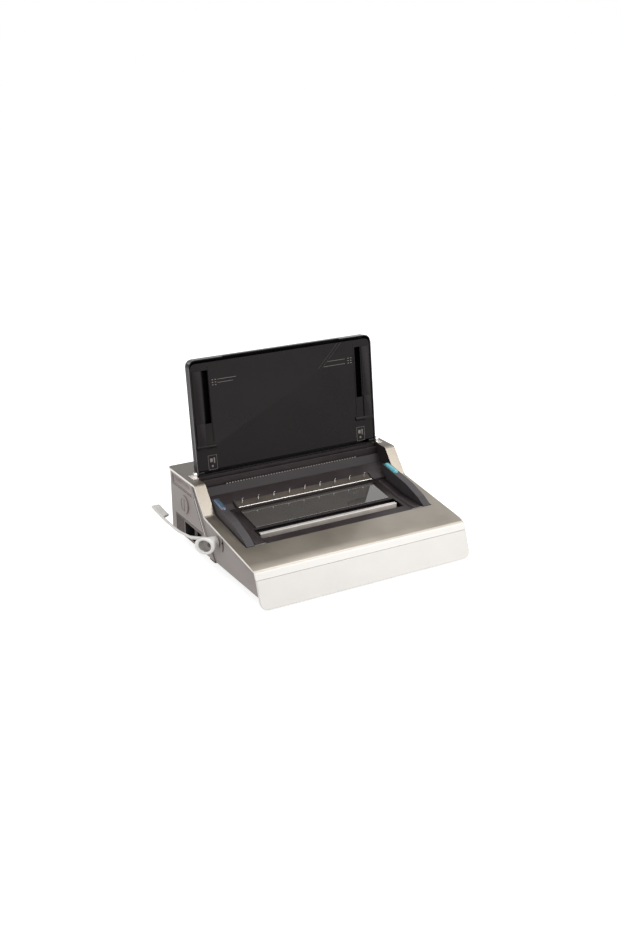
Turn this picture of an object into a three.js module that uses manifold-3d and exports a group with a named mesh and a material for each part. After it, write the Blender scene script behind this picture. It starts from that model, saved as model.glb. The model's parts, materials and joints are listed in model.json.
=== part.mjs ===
// Electric wire binding machine: a desk machine that punches sheets with a motor and closes wire
// elements with a hand lever. Millimetres, +X right, +Y to the rear, +Z up.
// It is drawn about the middle of its casing and moved to the centre of its footprint at the end.
import * as THREE from "three";
import { mergeVertices } from "three/addons/utils/BufferGeometryUtils.js";
import Module from "manifold-3d";

const wasm = await Module();
wasm.setup();

// Casing: overall sizes, then the step, slope and brow of its top line
const casingWidth = 498;
const deckHeight = 165;
const rearReach = 210;
const lipReach = -230;
const lipHeight = 3;
const stepInset = 140;
const stepRun = 46;
const stepDrop = 55;
const deckSlope = 8.11;
const browInset = 27.4;
const browDrop = 16.7;
const seamInset = 20.2;
const coverWall = 3;
const sideWall = 3;
const browRadius = 6;
const stepRadius = 8;
const cornerRadius = 8;
const flangeDepth = 5;
const rearLip = 6;
const rearOverhang = 12;

// Clearances and the overrun of every cut
const seat = 0.3;
const slideGap = 1.2;
const overrun = 8;

// Recess between the side rails
const railWidth = 25;
const recessLead = 30;
const recessRear = 12;
const recessWall = 2.5;
const recessSkirt = 5;

// Side panels and skirts, parted by a slanted seam
const sidePanelBottom = 26.6;
const seamAhead = 4;
const seamRun = 69.4;
const seamFootRun = 35.6;
const seamMidDrop = 7.4;
const seamGroove = 2.4;
const seamRidge = 4;
const skirtInset = 1.5;
const skirtArchRun = 27;
const skirtArchHeight = 19;
const skirtFrontHeight = 5;
const slotInner = 24.5;
const slotOuter = 29;
const slotFromDegrees = 128;
const slotToDegrees = 212;

// Carrying-handle recesses
const handleInset = 10;
const handleLong = 102;
const handleSlant = 15;
const handleDrop = 9;
const handleTall = 19;
const handleDepth = 18;
const handleWall = 2;

// Base pan and feet
const panBottom = 10;
const panFloor = 3;
const panWallTop = 40;
const panWall = 2.5;
const panInset = 30;
const panSlopeRun = 40;
const footRadius = 13;
const footWaist = 11;
const footRound = 2;
const footInset = 48;
const footFrontInset = 65;
const footRearInset = 50;

// Steel side frames
const chassisInset = 61;
const chassisWall = 3;
const chassisLead = 4;
const chassisRearGap = 6;
const ledgeDrop = 15.3;
const ledgeWall = 3;
const ledgeWidth = 12;

// Work deck: a flat with the closing slot, a slope under the smoked cover, a riser and a rear slope
const deckWall = 3;
const deckSink = 1.766;
const slotRearLead = 12;
const slotWide = 43;
const slotEnd = 16;
const anvilRise = 3;
const coverRise = 11.9;
const riserTall = 7.6;
const holderRun = 14;
const holderRise = 7.5;
const deckRearRun = 36.2;
const deckRearRise = 10;
const deckRibInset = 12;
const deckRibWidth = 24;
const deckRibBevel = 6;
const deckRibTall = 3;
const deckRibLead = 6;

// Throat and the two punching plates
const throatRun = 15.8;
const throatGap = 5;
const throatBarRise = 16;
const throatBarLip = 2;
const throatBackRise = 14;
const throatBackWall = 5;
const paperGap = 3;
const plateWall = 8;
const plateDrop = 10;
const plateTall = 38;
const paperStopTall = 10;

// Punch pins and bar
const pinCount = 34;
const pinPitch = 8.467;
const pinSide = 4;
const pinRetract = 1.5;
const pinDrop = 22;
const punchStroke = 9;
const barSetback = 19.5;
const barWall = 7.5;
const barTall = 16;
const barEnd = 8.3;

// Crank shaft, eccentrics and yokes
const crankInset = 44;
const crankSetback = 54;
const crankRadius = 7;
const eccentricRadius = 13;
const eccentricWide = 10;
const eccentricInset = 26;
const yokeWall = 4;
const yokePlay = 1.4;

// Drive gears; tooth sizes are shares of the module or of the pitch
const gearModule = 1.25;
const gearTeeth = 36;
const driveTeeth = 12;
const gearWide = 9;
const gearReach = 72;
const gearBossWall = 4;
const addendumShare = 0.8;
const dedendumShare = 1.15;
const toothTipShare = 0.13;
const toothRootShare = 0.33;

// Motor and its bracket
const motorLean = 54;
const motorRadius = 19;
const motorLength = 96;
const motorCapRadius = 13;
const motorCapLength = 8;
const motorShaftRadius = 3;
const bracketWall = 3;
const bracketSetback = 27;
const bracketFootWide = 16;
const bracketRim = 2;

// Closing mechanism
const leverLead = 133;
const leverDrop = 14;
const leverSwing = 100;
const closerShaftRadius = 6;
const closerModule = 1;
const closerTeeth = 15;
const closerPinionWide = 10;
const closerPinionInset = 52;
const rackTeeth = 9;
const rackLeadTeeth = 3;
const bushSleeve = 8;
const bushFlange = 11;
const bushWall = 5;
const jawLead = 15;
const jawDepth = 9;
const jawDrop = 1.8;
const jawLipTall = 2.4;
const jawWebWall = 3;
const jawFootWall = 2;
const jawFootFront = 4;
const jawNose = 1.2;
const jawEnd = 6;
const carriageWall = 3;
const carriageTail = 9;

// Lever: hub, bowed arm and paddle; the arm's places are measured from the hub's centre
const hubRadius = 20;
const hubReach = 31;
const hubSlant = 30;
const hubCupRadius = 14;
const hubCupDepth = 17;
const hubSpigot = 9;
const armOuter = 46;
const armWide = 6;
const armRootWide = 20;
const armTall = 5;
const armRootReach = 9;
const armRootRise = 11.3;
const armNeckLead = 48;
const armNeckRise = 1.7;
const armSagLead = 45;
const armSagRise = -5;
const armBendLead = 65;
const armBendRise = -5.5;
const paddleFootLead = 24;
const paddleFootRise = -4;
const paddleLong = 52;
const paddleTipRise = 0.5;
const paddleWide = 20;
const paddleTall = 5;
const paddleRound = 7;

// Hook strip
const hookCount = 9;
const hookPitch = 38;
const hookTall = 12;
const hookWall = 1.6;
const hookWide = 2.4;
const hookBeak = 3.2;
const hookSeatShare = 0.6;
const stripWall = 2;
const stripEnd = 6;
const stripLip = 0.6;

// Smoked cover over the deck
const smokedWall = 2;
const smokedEnd = 9;
const smokedGap = 3;
const smokedRearGap = 4;

// Side ramps and their buttons
const rampGap = 2.3;
const rampWide = 17.7;
const rampRearLead = 4;
const rampRearRise = 26;
const rampKneeLead = 2;
const rampKneeRise = 8.6;
const rampLowLead = 4;
const rampLowDrop = 6;
const rampFrontRise = 2.5;
const rampRound = 3;
const buttonInset = 27;
const buttonLong = 46;
const buttonWide = 13;
const buttonDeep = 16.3;
const buttonTravel = 2.5;
const buttonProud = 4;
const buttonGap = 0.6;

// Lid, measured from its hinge line, and its two brackets
const lidLean = 6.2;
const lidHingeRise = 7.4;
const lidHingeLead = 1.1;
const lidGap = 2;
const lidInner = 5;
const lidOuter = 15;
const lidFoot = 4.7;
const lidTop = 243.5;
const lidWall = 2.2;
const lidCorner = 14;
const linerInset = 1.5;
const linerWall = 2.6;
const linerSlotInset = 27.5;
const linerSlotWide = 14.5;
const linerSlotDrop = 24.5;
const linerSlotLong = 114;
const linerPost = 8;
const borderGap = 2.5;
const borderProud = 1.2;
const padProud = 2.6;
const padLong = 55;
const beadDrop = 49;
const beadRadius = 5;
const beadInset = 48;
const notchInset = 79;
const notchDepth = 8;
const hingePinRadius = 2;
const hingePinLong = 14;
const hingeBoss = 4.2;
const lugWide = 7;
const lugRadius = 5;
const lugSkin = 1.5;
const bracketPlate = 2;
const bracketLong = 26;
const bracketWide = 13;

// Storage drawer
const drawerFrontWall = 6;
const drawerGap = 6;
const drawerWall = 2;
const drawerDrop = 6;
const drawerFloor = 15;
const drawerRearGap = 16;
const drawerCorner = 15;
const drawerSeam = 0.7;
const runnerWall = 2.2;
const runnerDrop = 20.7;
const runnerFoot = 8;
const runnerInset = 35;

// Chip drawer
const chipInset = 33;
const chipLong = 139;
const chipDrop = 7;
const chipFloor = 27.2;
const chipWall = 2;
const chipEnd = 4;
const chipTrayDrop = 8;
const chipFaceGap = 0.5;
const chipRibInset = 3;
const chipRibWidth = 5;
const gripRearInset = 49;
const gripDepth = 24;
const gripBarRun = 33;
const gripBarWide = 15;
const gripBarInset = 3;
const gripBarWall = 3;
const gripRim = 6;

// Edge guide
const knobSetback = 24.6;
const knobRise = 8.6;
const knobRadius = 20;
const knobWall = 3;
const knobDish = 14;
const knobDishDepth = 1.2;
const knobGripHalf = 2;
const spindleRadius = 4;
const spindleTail = 10;
const guideGap = 18;
const guideWide = 9;
const guideBlock = 14;
const guideTongue = 2;
const guideBridgeRise = 8;
const guideTravel = 6;

// Rear fittings
const rearWall = 3;
const fittingHeight = 52;
const fittingFlange = 3;
const fittingWall = 2;
const inletInset = 99;
const inletWide = 28;
const inletTall = 22;
const inletDeep = 20;
const inletPinPitch = 7;
const inletPinRise = 3;
const inletPinWide = 2;
const inletPinTall = 5;
const inletPinInset = 4;
const switchInset = 49;
const switchWide = 21;
const switchTall = 28;
const switchDeep = 14;
const rockerTilt = 8;
const rockerProud = 4;
const rockerDeep = 6;
const rockerVee = 1.2;
const rockerGap = 1;
const rockerNarrowShare = 0.8;
const ventCount = 8;
const ventPitch = 9;
const ventTall = 4;
const ventWide = 50;
const ventHeight = 60;

// Circuit board
const boardWall = 1.6;
const boardInset = 30;
const boardLong = 106;
const boardTall = 66;
const boardDrop = 6;
const standoffLong = 6;
const standoffSide = 6;
const boardBlocks = 3;
const boardBlockTall = 14;
const boardBlockShare = 0.6;

// Facets of round shapes
const roundSides = 28;
const shaftSides = 24;
const smallSides = 12;
const arcSteps = 3;
const ovalSteps = 6;
const armSteps = 14;
const weldGap = 1e-5;

// Places across the width
const halfWidth = casingWidth / 2;
const innerSide = halfWidth - sideWall;
const recessHalf = halfWidth - railWidth;
const rampOuter = recessHalf - rampGap;
const rampInner = rampOuter - rampWide;
const lidHalfWidth = recessHalf - lidGap;
const linerSlotOuter = lidHalfWidth - linerSlotInset;
const linerSlotInner = linerSlotOuter - linerSlotWide;
const beadInner = lidHalfWidth - beadInset;
const notchHalfWidth = lidHalfWidth - notchInset;
const hingePinInner = lidHalfWidth - hingePinLong;
const chassisReach = halfWidth - chassisInset;
const deckRibReach = chassisReach - deckRibInset;
const slotHalfWidth = chassisReach - slotEnd;
const jawHalfWidth = slotHalfWidth - jawEnd;
const stripHalfWidth = slotHalfWidth - stripEnd;
const smokedHalfWidth = slotHalfWidth - smokedEnd;
const closerPinionReach = slotHalfWidth - closerPinionInset;
const drawerHalfWidth = chassisReach - drawerGap;
const chipInnerReach = chassisReach - chipEnd;
const barHalfWidth = (pinCount - 1) / 2 * pinPitch + barEnd;
const eccentricReach = barHalfWidth - eccentricInset;
const guideReach = barHalfWidth + guideGap;
const spindleInner = guideReach - spindleTail;
const inletReach = halfWidth - inletInset;
const switchReach = halfWidth - switchInset;
const ventReach = -inletReach;

// Places along the machine: the punch hangs from the rear face, the closer and the recess lie ahead of it
const rearPanelReach = rearReach - rearOverhang;
const chassisRearReach = rearPanelReach - chassisRearGap;
const crankReach = rearPanelReach - crankInset;
const bracketFootReach = crankReach + bracketSetback;
const throatReach = crankReach - crankSetback;
const barReach = throatReach + barSetback;
const knobReach = throatReach + knobSetback;
const guideFront = throatReach + paperGap / 2;
const dieFront = throatReach - paperGap / 2 - plateWall;
const recessRearReach = throatReach + recessRear;
const lidHingeReach = recessRearReach + lidHingeLead;
const deckRearReach = throatReach - throatRun;
const holderTopReach = deckRearReach - deckRearRun;
const coverRearReach = holderTopReach - holderRun;
const smokedRearReach = coverRearReach - smokedRearGap;
const leverReach = throatReach - leverLead;
const carriageRearReach = leverReach + carriageTail;
const slotRearReach = leverReach - slotRearLead;
const smokedFrontReach = slotRearReach + smokedGap;
const jawRearReach = slotRearReach - jawLead;
const slotFrontReach = slotRearReach - slotWide;
const carriageFrontReach = slotFrontReach;
const chassisFrontReach = slotFrontReach - chassisLead;
const recessFrontReach = slotFrontReach - recessLead;
const rampRearReach = holderTopReach + rampRearLead;
const rampKneeReach = slotRearReach - rampKneeLead;
const rampLowReach = slotFrontReach - rampLowLead;
const rampFrontReach = recessFrontReach + slideGap;
const buttonReach = rampRearReach - buttonInset;
const stepTopReach = rearReach - stepInset;
const stepFootReach = stepTopReach - stepRun;
const handleRearReach = rearPanelReach - handleInset;
const handleFrontReach = handleRearReach - handleLong;
const seamTopReach = handleFrontReach + seamAhead;
const seamMidReach = seamTopReach - seamRun;
const seamFootReach = seamMidReach - seamFootRun;
const skirtArchReach = seamFootReach - skirtArchRun;
const chipRearReach = rearReach - chipInset;
const chipFrontReach = chipRearReach - chipLong;
const gripRearReach = chipRearReach - gripRearInset;
const gripBarFront = chipFrontReach + gripBarRun;
const gripBarRear = gripBarFront + gripBarWide;
const drawerRearReach = chipFrontReach - drawerRearGap;
const boardRearReach = rearPanelReach - boardInset;
const boardFrontReach = boardRearReach - boardLong;
const footRearReach = rearReach - footRearInset;
const browReach = lipReach + browInset;
const seamReach = lipReach + seamInset;
const panFrontReach = lipReach + panInset;
const panWallFrontReach = panFrontReach + panSlopeRun;
const footFrontReach = lipReach + footFrontInset;
const runnerFrontReach = lipReach + runnerInset;

// Heights: the slope falls from the step's foot at one angle, and the deck line climbs from its front edge
const slopeShare = Math.tan(THREE.MathUtils.degToRad(deckSlope));
const stepFootHeight = deckHeight - stepDrop;
const browHeight = stepFootHeight - (stepFootReach - browReach) * slopeShare;
const seamHeight = browHeight - browDrop;
const frontDeckHeight = stepFootHeight - (stepFootReach - recessFrontReach) * slopeShare - deckSink;
const anvilHeight = frontDeckHeight + anvilRise;
const coverRearHeight = anvilHeight + coverRise;
const holderFootHeight = coverRearHeight + riserTall;
const holderTopHeight = holderFootHeight + holderRise;
const deckRearHeight = holderTopHeight + deckRearRise;
const throatBarTop = deckRearHeight + throatBarRise;
const throatBackTop = throatBarTop + throatBackRise;
const plateTop = deckRearHeight - plateDrop;
const plateBottom = plateTop - plateTall;
const paperStopTop = plateBottom + paperStopTall;
const pinHeight = plateTop - pinDrop;
const knobHeight = pinHeight + knobRise;
const guideBridgeTop = plateTop + guideBridgeRise;
const boardTop = plateTop - boardDrop;
const boardBottom = boardTop - boardTall;
const rampRearHeight = stepFootHeight + rampRearRise;
const rampKneeHeight = stepFootHeight + rampKneeRise;
const rampLowHeight = stepFootHeight - rampLowDrop;
const buttonFloor = rampRearHeight - buttonDeep;
const jawTop = anvilHeight - jawDrop;
const leverHeight = anvilHeight - leverDrop;
const ledgeTop = leverHeight - ledgeDrop;
const carriageTop = ledgeTop + seat + carriageWall;
const chipTop = leverHeight - chipDrop;
const chipTrayTop = chipTop - chipTrayDrop;
const seamMidHeight = leverHeight - seamMidDrop;
const runnerTop = ledgeTop - ledgeWall - runnerDrop;
const drawerTop = seamHeight - drawerDrop;
const lidHingeHeight = deckHeight + lidHingeRise;
const handleTop = deckHeight - handleDrop;
const handleBottom = handleTop - handleTall;
const linerSlotTop = lidTop - linerSlotDrop;
const linerSlotFoot = linerSlotTop - linerSlotLong;
const beadHeight = linerSlotFoot - beadDrop;
const panTop = panBottom + panFloor;

// Motions: the eccentrics give the punch its stroke, and the pinions move the racks
const eccentricThrow = punchStroke / 2;
const gearDistance = (gearTeeth + driveTeeth) * gearModule / 2;
const motorTurn = THREE.MathUtils.degToRad(motorLean);
const motorReach = crankReach + gearDistance * Math.cos(motorTurn);
const motorHeight = pinHeight + gearDistance * Math.sin(motorTurn);
const bracketInner = gearReach - gearWide - bracketWall;
const motorFace = bracketInner - seat;
const closerRadius = closerTeeth * closerModule / 2;
const closerTravel = closerRadius * THREE.MathUtils.degToRad(leverSwing);
const frontLean = (lipReach - seamReach) / (lipHeight - seamHeight);

const xAxis = new THREE.Vector3(1, 0, 0);
const yAxis = new THREE.Vector3(0, 1, 0);
const zAxis = new THREE.Vector3(0, 0, 1);

// A closed mesh becomes a solid that can be cut and joined; slivers with a repeated corner are dropped.
function solidOf(geometry) {
  geometry.deleteAttribute("normal");
  geometry.deleteAttribute("uv");
  const merged = mergeVertices(geometry, weldGap);
  const index = merged.index.array;
  const triangles = [];
  for (let i = 0; i < index.length; i += 3) {
    const [a, b, c] = [index[i], index[i + 1], index[i + 2]];
    if (a !== b && b !== c && c !== a) triangles.push(a, b, c);
  }
  return new wasm.Manifold(new wasm.Mesh({
    numProp: 3,
    vertProperties: new Float32Array(merged.attributes.position.array),
    triVerts: new Uint32Array(triangles),
  }));
}

// The corners of an outline that carry a radius become arcs.
function rounded(points) {
  const count = points.length;
  return points.flatMap(([a, b, radius], i) => {
    if (!radius) return [[a, b]];
    const corner = new THREE.Vector2(a, b);
    const [beforeA, beforeB] = points[(i + count - 1) % count];
    const [afterA, afterB] = points[(i + 1) % count];
    const before = new THREE.Vector2(beforeA, beforeB).sub(corner).normalize();
    const after = new THREE.Vector2(afterA, afterB).sub(corner).normalize();
    const half = Math.acos(before.dot(after)) / 2;
    const reach = radius / Math.tan(half);
    const bisector = before.clone().add(after).normalize();
    const centre = bisector.multiplyScalar(radius / Math.sin(half)).add(corner);
    const start = before.multiplyScalar(reach).add(corner).sub(centre);
    const end = after.multiplyScalar(reach).add(corner).sub(centre);
    const turn = Math.atan2(start.cross(end), start.dot(end));
    return Array.from({ length: arcSteps + 1 }, (_, k) => {
      const point = start.clone().rotateAround(new THREE.Vector2(), turn * k / arcSteps).add(centre);
      return [point.x, point.y];
    });
  });
}

// A line from rear to front, moved square to itself into the casing.
function inset(line, depth) {
  const normals = line.slice(1).map(([y, z], i) => {
    const along = new THREE.Vector2(y - line[i][0], z - line[i][1]).normalize();
    return new THREE.Vector2(-along.y, along.x);
  });
  return line.map(([y, z], i) => {
    const first = normals[Math.max(i - 1, 0)];
    const second = normals[Math.min(i, normals.length - 1)];
    const scale = depth / (1 + first.dot(second));
    return [y + (first.x + second.x) * scale, z + (first.y + second.y) * scale];
  });
}

// Height of a rear-to-front line at one reach.
function heightAt(line, reach) {
  for (let i = 1; i < line.length; i += 1) {
    const [rearY, rearZ] = line[i - 1];
    const [frontY, frontZ] = line[i];
    if (reach <= rearY && reach >= frontY) {
      return rearZ + (frontZ - rearZ) * (reach - rearY) / (frontY - rearY);
    }
  }
  return line[line.length - 1][1];
}

// The stretch of a rear-to-front line between two reaches.
function between(line, rear, front) {
  const inner = line.filter(([reach]) => reach < rear && reach > front);
  return [[rear, heightAt(line, rear)], ...inner, [front, heightAt(line, front)]];
}

function extruded(points, depth) {
  const shape = new THREE.Shape(points.map(([a, b]) => new THREE.Vector2(a, b)));
  return new THREE.ExtrudeGeometry(shape, { depth, bevelEnabled: false, steps: 1 });
}

// An outline in Y and Z carried along X.
function prismX(points, xLow, xHigh) {
  const basis = new THREE.Matrix4().makeBasis(yAxis, zAxis, xAxis).setPosition(xLow, 0, 0);
  return solidOf(extruded(points, xHigh - xLow).applyMatrix4(basis));
}

// An outline in X and Z carried along Y.
function prismY(points, yLow, yHigh) {
  const basis = new THREE.Matrix4().makeBasis(xAxis, zAxis, yAxis.clone().negate());
  return solidOf(extruded(points, yHigh - yLow).applyMatrix4(basis.setPosition(0, yHigh, 0)));
}

// An outline in X and Y carried along Z.
function prismZ(points, zLow, zHigh) {
  return solidOf(extruded(points, zHigh - zLow).translate(0, 0, zLow));
}

function block(xLow, xHigh, yLow, yHigh, zLow, zHigh) {
  const geometry = new THREE.BoxGeometry(xHigh - xLow, yHigh - yLow, zHigh - zLow);
  return solidOf(geometry.translate((xLow + xHigh) / 2, (yLow + yHigh) / 2, (zLow + zHigh) / 2));
}

function rodX(y, z, radius, xLow, xHigh, sides = roundSides) {
  const geometry = new THREE.CylinderGeometry(radius, radius, xHigh - xLow, sides);
  return solidOf(geometry.rotateZ(-Math.PI / 2).translate((xLow + xHigh) / 2, y, z));
}

function joined(...solids) {
  return solids.reduce((sum, next) => sum.add(next));
}

// Low and high X of a span that is mirrored on the left side.
function onSide(side, low, high) {
  return side > 0 ? [low, high] : [-high, -low];
}

const silver = new THREE.MeshStandardMaterial({ color: 0x9b958c, roughness: 0.42, metalness: 0.55 });
const sideGrey = new THREE.MeshStandardMaterial({ color: 0x9a9290, roughness: 0.6 });
const darkPlastic = new THREE.MeshStandardMaterial({ color: 0x3a3335, roughness: 0.55 });
const blackPlastic = new THREE.MeshStandardMaterial({ color: 0x1d1b1c, roughness: 0.5 });
const offWhite = new THREE.MeshStandardMaterial({ color: 0xebe9e4, roughness: 0.4 });
const steel = new THREE.MeshStandardMaterial({ color: 0xa8abb0, roughness: 0.35, metalness: 0.9 });
const aluminium = new THREE.MeshStandardMaterial({ color: 0xc9c4bf, roughness: 0.3, metalness: 0.9 });
const bronze = new THREE.MeshStandardMaterial({ color: 0x6b5f50, roughness: 0.35, metalness: 0.6 });
const smoked = new THREE.MeshStandardMaterial({ color: 0x2a2a2c, roughness: 0.1 });
const blueClear = new THREE.MeshStandardMaterial({ color: 0x5fb5c0, roughness: 0.15 });
const rubber = new THREE.MeshStandardMaterial({ color: 0x1a1a1a, roughness: 0.85 });
const boardGreen = new THREE.MeshStandardMaterial({ color: 0x2f6b45, roughness: 0.6 });
const brass = new THREE.MeshStandardMaterial({ color: 0xb5a06a, roughness: 0.35, metalness: 0.8 });

const machine = new THREE.Group();

function piece(name, solid, material, parent = machine) {
  const { vertProperties, triVerts } = solid.getMesh();
  const geometry = new THREE.BufferGeometry();
  geometry.setAttribute("position", new THREE.BufferAttribute(vertProperties, 3));
  geometry.setIndex(new THREE.BufferAttribute(triVerts, 1));
  const mesh = new THREE.Mesh(geometry, material);
  mesh.name = name;
  parent.add(mesh);
}

// The casing's top line, and the line just under the cover's side flange
const topLine = rounded([
  [rearReach, deckHeight],
  [stepTopReach, deckHeight, stepRadius],
  [stepFootReach, stepFootHeight, stepRadius],
  [browReach, browHeight, browRadius],
  [seamReach, seamHeight],
]);
const flangeLine = inset(topLine, flangeDepth + seat);

// The work deck's top line, front to rear
const deckLine = [
  [recessFrontReach + seat, frontDeckHeight],
  [slotFrontReach, frontDeckHeight],
  [slotRearReach, anvilHeight],
  [coverRearReach, coverRearHeight],
  [coverRearReach, holderFootHeight],
  [holderTopReach, holderTopHeight],
  [deckRearReach, deckRearHeight],
];

// Height, at one reach, of the plane that joins two corners of an outline.
function planeAt(low, high, reach) {
  const [lowReach, lowHeight] = low;
  const [highReach, highHeight] = high;
  return lowHeight + (highHeight - lowHeight) * (reach - lowReach) / (highReach - lowReach);
}

const smokedPlaneAt = (reach) => planeAt(deckLine[2], deckLine[3], reach);
const rearPlaneAt = (reach) => planeAt(deckLine[5], deckLine[6], reach);
const rampPlaneAt = (reach) => planeAt([rampKneeReach, rampKneeHeight], [rampRearReach, rampRearHeight], reach);
const frontPlaneAt = (height) => seamReach + (height - seamHeight) * frontLean;

// Deck, step, slope and brow in one shell, with the recess, its walls and the lid's lugs
function topCover() {
  const skin = prismX([...topLine, ...inset(topLine, coverWall).reverse()], -halfWidth, halfWidth);
  const plan = prismZ(rounded([
    [-halfWidth, lipReach],
    [halfWidth, lipReach],
    [halfWidth, rearReach, cornerRadius],
    [-halfWidth, rearReach, cornerRadius],
  ]), lipHeight, deckHeight + overrun);
  const lip = block(-halfWidth, halfWidth, rearReach - coverWall, rearReach, deckHeight - rearLip, deckHeight);
  const recess = block(
    -recessHalf, recessHalf, recessFrontReach, recessRearReach, seamHeight, deckHeight + overrun);
  const wallFoot = [
    [recessFrontReach - recessWall, frontDeckHeight - recessSkirt],
    ...deckLine.slice(1, 4).map(([y, z]) => [y, z - recessSkirt]),
    [holderTopReach, holderTopHeight - recessSkirt],
    [recessRearReach + recessWall, plateTop - recessSkirt],
  ];
  const wallTop = between(topLine, recessRearReach + recessWall, recessFrontReach - recessWall);
  const flange = [...topLine, ...inset(topLine, flangeDepth).reverse()];
  const sides = [-1, 1].flatMap((side) => [
    prismX([...wallTop, ...wallFoot], ...onSide(side, recessHalf, recessHalf + recessWall)),
    prismX(flange, ...onSide(side, innerSide, halfWidth)),
  ]);
  const frontEnd = block(
    -recessHalf - recessWall, recessHalf + recessWall, recessFrontReach - recessWall, recessFrontReach,
    frontDeckHeight - recessSkirt, heightAt(topLine, recessFrontReach) - coverWall / 2);
  const rearEnd = block(
    -recessHalf - recessWall, recessHalf + recessWall, recessRearReach, recessRearReach + recessWall,
    guideBridgeTop + slideGap, deckHeight - coverWall / 2);
  const below = block(
    -halfWidth - overrun, halfWidth + overrun, lipReach, seamReach + overrun * 2, lipHeight, seamHeight);
  return joined(skin, lip).subtract(recess).add(joined(...sides, frontEnd, rearEnd))
    .subtract(below).intersect(plan);
}

// A bracket screwed to each rail: a foot plate with a round-topped lug that carries one of the lid's pins
function lidBracket(side) {
  const x = onSide(side, recessHalf + seat, recessHalf + lugWide);
  const low = deckHeight + seat;
  const round = rodX(lidHingeReach, lidHingeHeight, lugRadius, ...x);
  const lug = block(...x, lidHingeReach - lugRadius, lidHingeReach + lugRadius, low, lidHingeHeight);
  const foot = block(
    ...onSide(side, recessHalf + seat, recessHalf + seat + bracketWide), lidHingeReach - bracketLong / 2,
    lidHingeReach + bracketLong / 2, low, low + bracketPlate);
  const bore = rodX(
    lidHingeReach, lidHingeHeight, hingePinRadius + seat,
    ...onSide(side, recessHalf - overrun, recessHalf + lugWide - lugSkin), smallSides);
  return joined(round, lug, foot).subtract(bore);
}

// The opening of a carrying handle; its front end runs with the seam.
function handleOutline(wall) {
  return [
    [handleRearReach + wall, handleBottom - wall],
    [handleRearReach + wall, handleTop + wall],
    [handleFrontReach + handleSlant - wall, handleTop + wall],
    [handleFrontReach - wall, handleBottom - wall],
  ];
}

function sidePanel(side) {
  const outline = [
    [rearPanelReach, sidePanelBottom],
    ...between(flangeLine, rearPanelReach, seamTopReach),
    [seamMidReach, seamMidHeight],
    [seamFootReach, sidePanelBottom],
  ];
  const through = onSide(side, innerSide - overrun, halfWidth + overrun);
  const cuts = [prismX(handleOutline(0), ...through)];
  if (side < 0) {
    cuts.push(block(...through, chipFrontReach, chipRearReach, sidePanelBottom - overrun, chipTop));
    cuts.push(rodX(knobReach, knobHeight, spindleRadius + seat, ...through, shaftSides));
  }
  return prismX(outline, ...onSide(side, innerSide, halfWidth)).subtract(joined(...cuts));
}

function sideSkirt(side) {
  const frontGap = drawerFrontWall + seat;
  const rear = seamTopReach - seamGroove;
  const seam = [
    [seamFootReach - seamGroove, sidePanelBottom],
    [seamMidReach - seamGroove, seamMidHeight],
    [rear, heightAt(flangeLine, rear)],
  ];
  const lowEdge = rounded([
    [frontPlaneAt(skirtFrontHeight) + frontGap, skirtFrontHeight],
    [skirtArchReach, skirtArchHeight, skirtArchHeight],
    seam[0],
  ]);
  const plate = prismX([
    ...between(flangeLine, rear, seamReach + frontGap),
    [seamReach + frontGap, seamHeight],
    ...lowEdge,
    seam[1],
  ], ...onSide(side, innerSide, halfWidth - skirtInset));
  const ridge = prismX([
    ...seam,
    ...seam.slice().reverse().map(
      ([y, z]) => [y - seamRidge, Math.min(z, heightAt(flangeLine, y - seamRidge))]),
  ], ...onSide(side, innerSide, halfWidth));
  const skirt = plate.add(ridge);
  if (side > 0) return skirt;
  const through = onSide(side, innerSide - overrun, halfWidth + overrun);
  const shaftHole = rodX(leverReach, leverHeight, closerShaftRadius + slideGap, ...through);
  return skirt.subtract(shaftHole.add(leverSlot(through)));
}

// A curved slot in the left skirt, just ahead of the lever's hub.
function leverSlot(through) {
  const arc = (radius, first, last) => Array.from({ length: ovalSteps + 1 }, (_, k) => {
    const angle = THREE.MathUtils.degToRad(first + (last - first) * k / ovalSteps);
    return [leverReach + radius * Math.cos(angle), leverHeight + radius * Math.sin(angle)];
  });
  return prismX([
    ...arc(slotInner, slotFromDegrees, slotToDegrees),
    ...arc(slotOuter, slotToDegrees, slotFromDegrees),
  ], ...through);
}

function handleCup(side) {
  const back = innerSide - seat - handleDepth;
  const outer = prismX(handleOutline(handleWall), ...onSide(side, back, innerSide - seat));
  return outer.subtract(prismX(handleOutline(0), ...onSide(side, back + handleWall, innerSide + overrun)));
}

function rearPanel() {
  const half = innerSide - seat;
  const through = [rearPanelReach - rearWall - overrun, rearPanelReach + overrun];
  const opening = (x, wide, tall) => block(
    x - seat, x + wide + seat, ...through, fittingHeight - tall / 2 - seat, fittingHeight + tall / 2 + seat);
  const vents = Array.from({ length: ventCount }, (_, i) => {
    const low = ventHeight + i * ventPitch;
    return block(ventReach, ventReach + ventWide, ...through, low, low + ventTall);
  });
  return block(
    -half, half, rearPanelReach - rearWall, rearPanelReach, panTop + seat, deckHeight - coverWall - seat,
  ).subtract(joined(
    opening(inletReach, inletWide, inletTall), opening(switchReach, switchWide, switchTall), ...vents));
}

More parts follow.
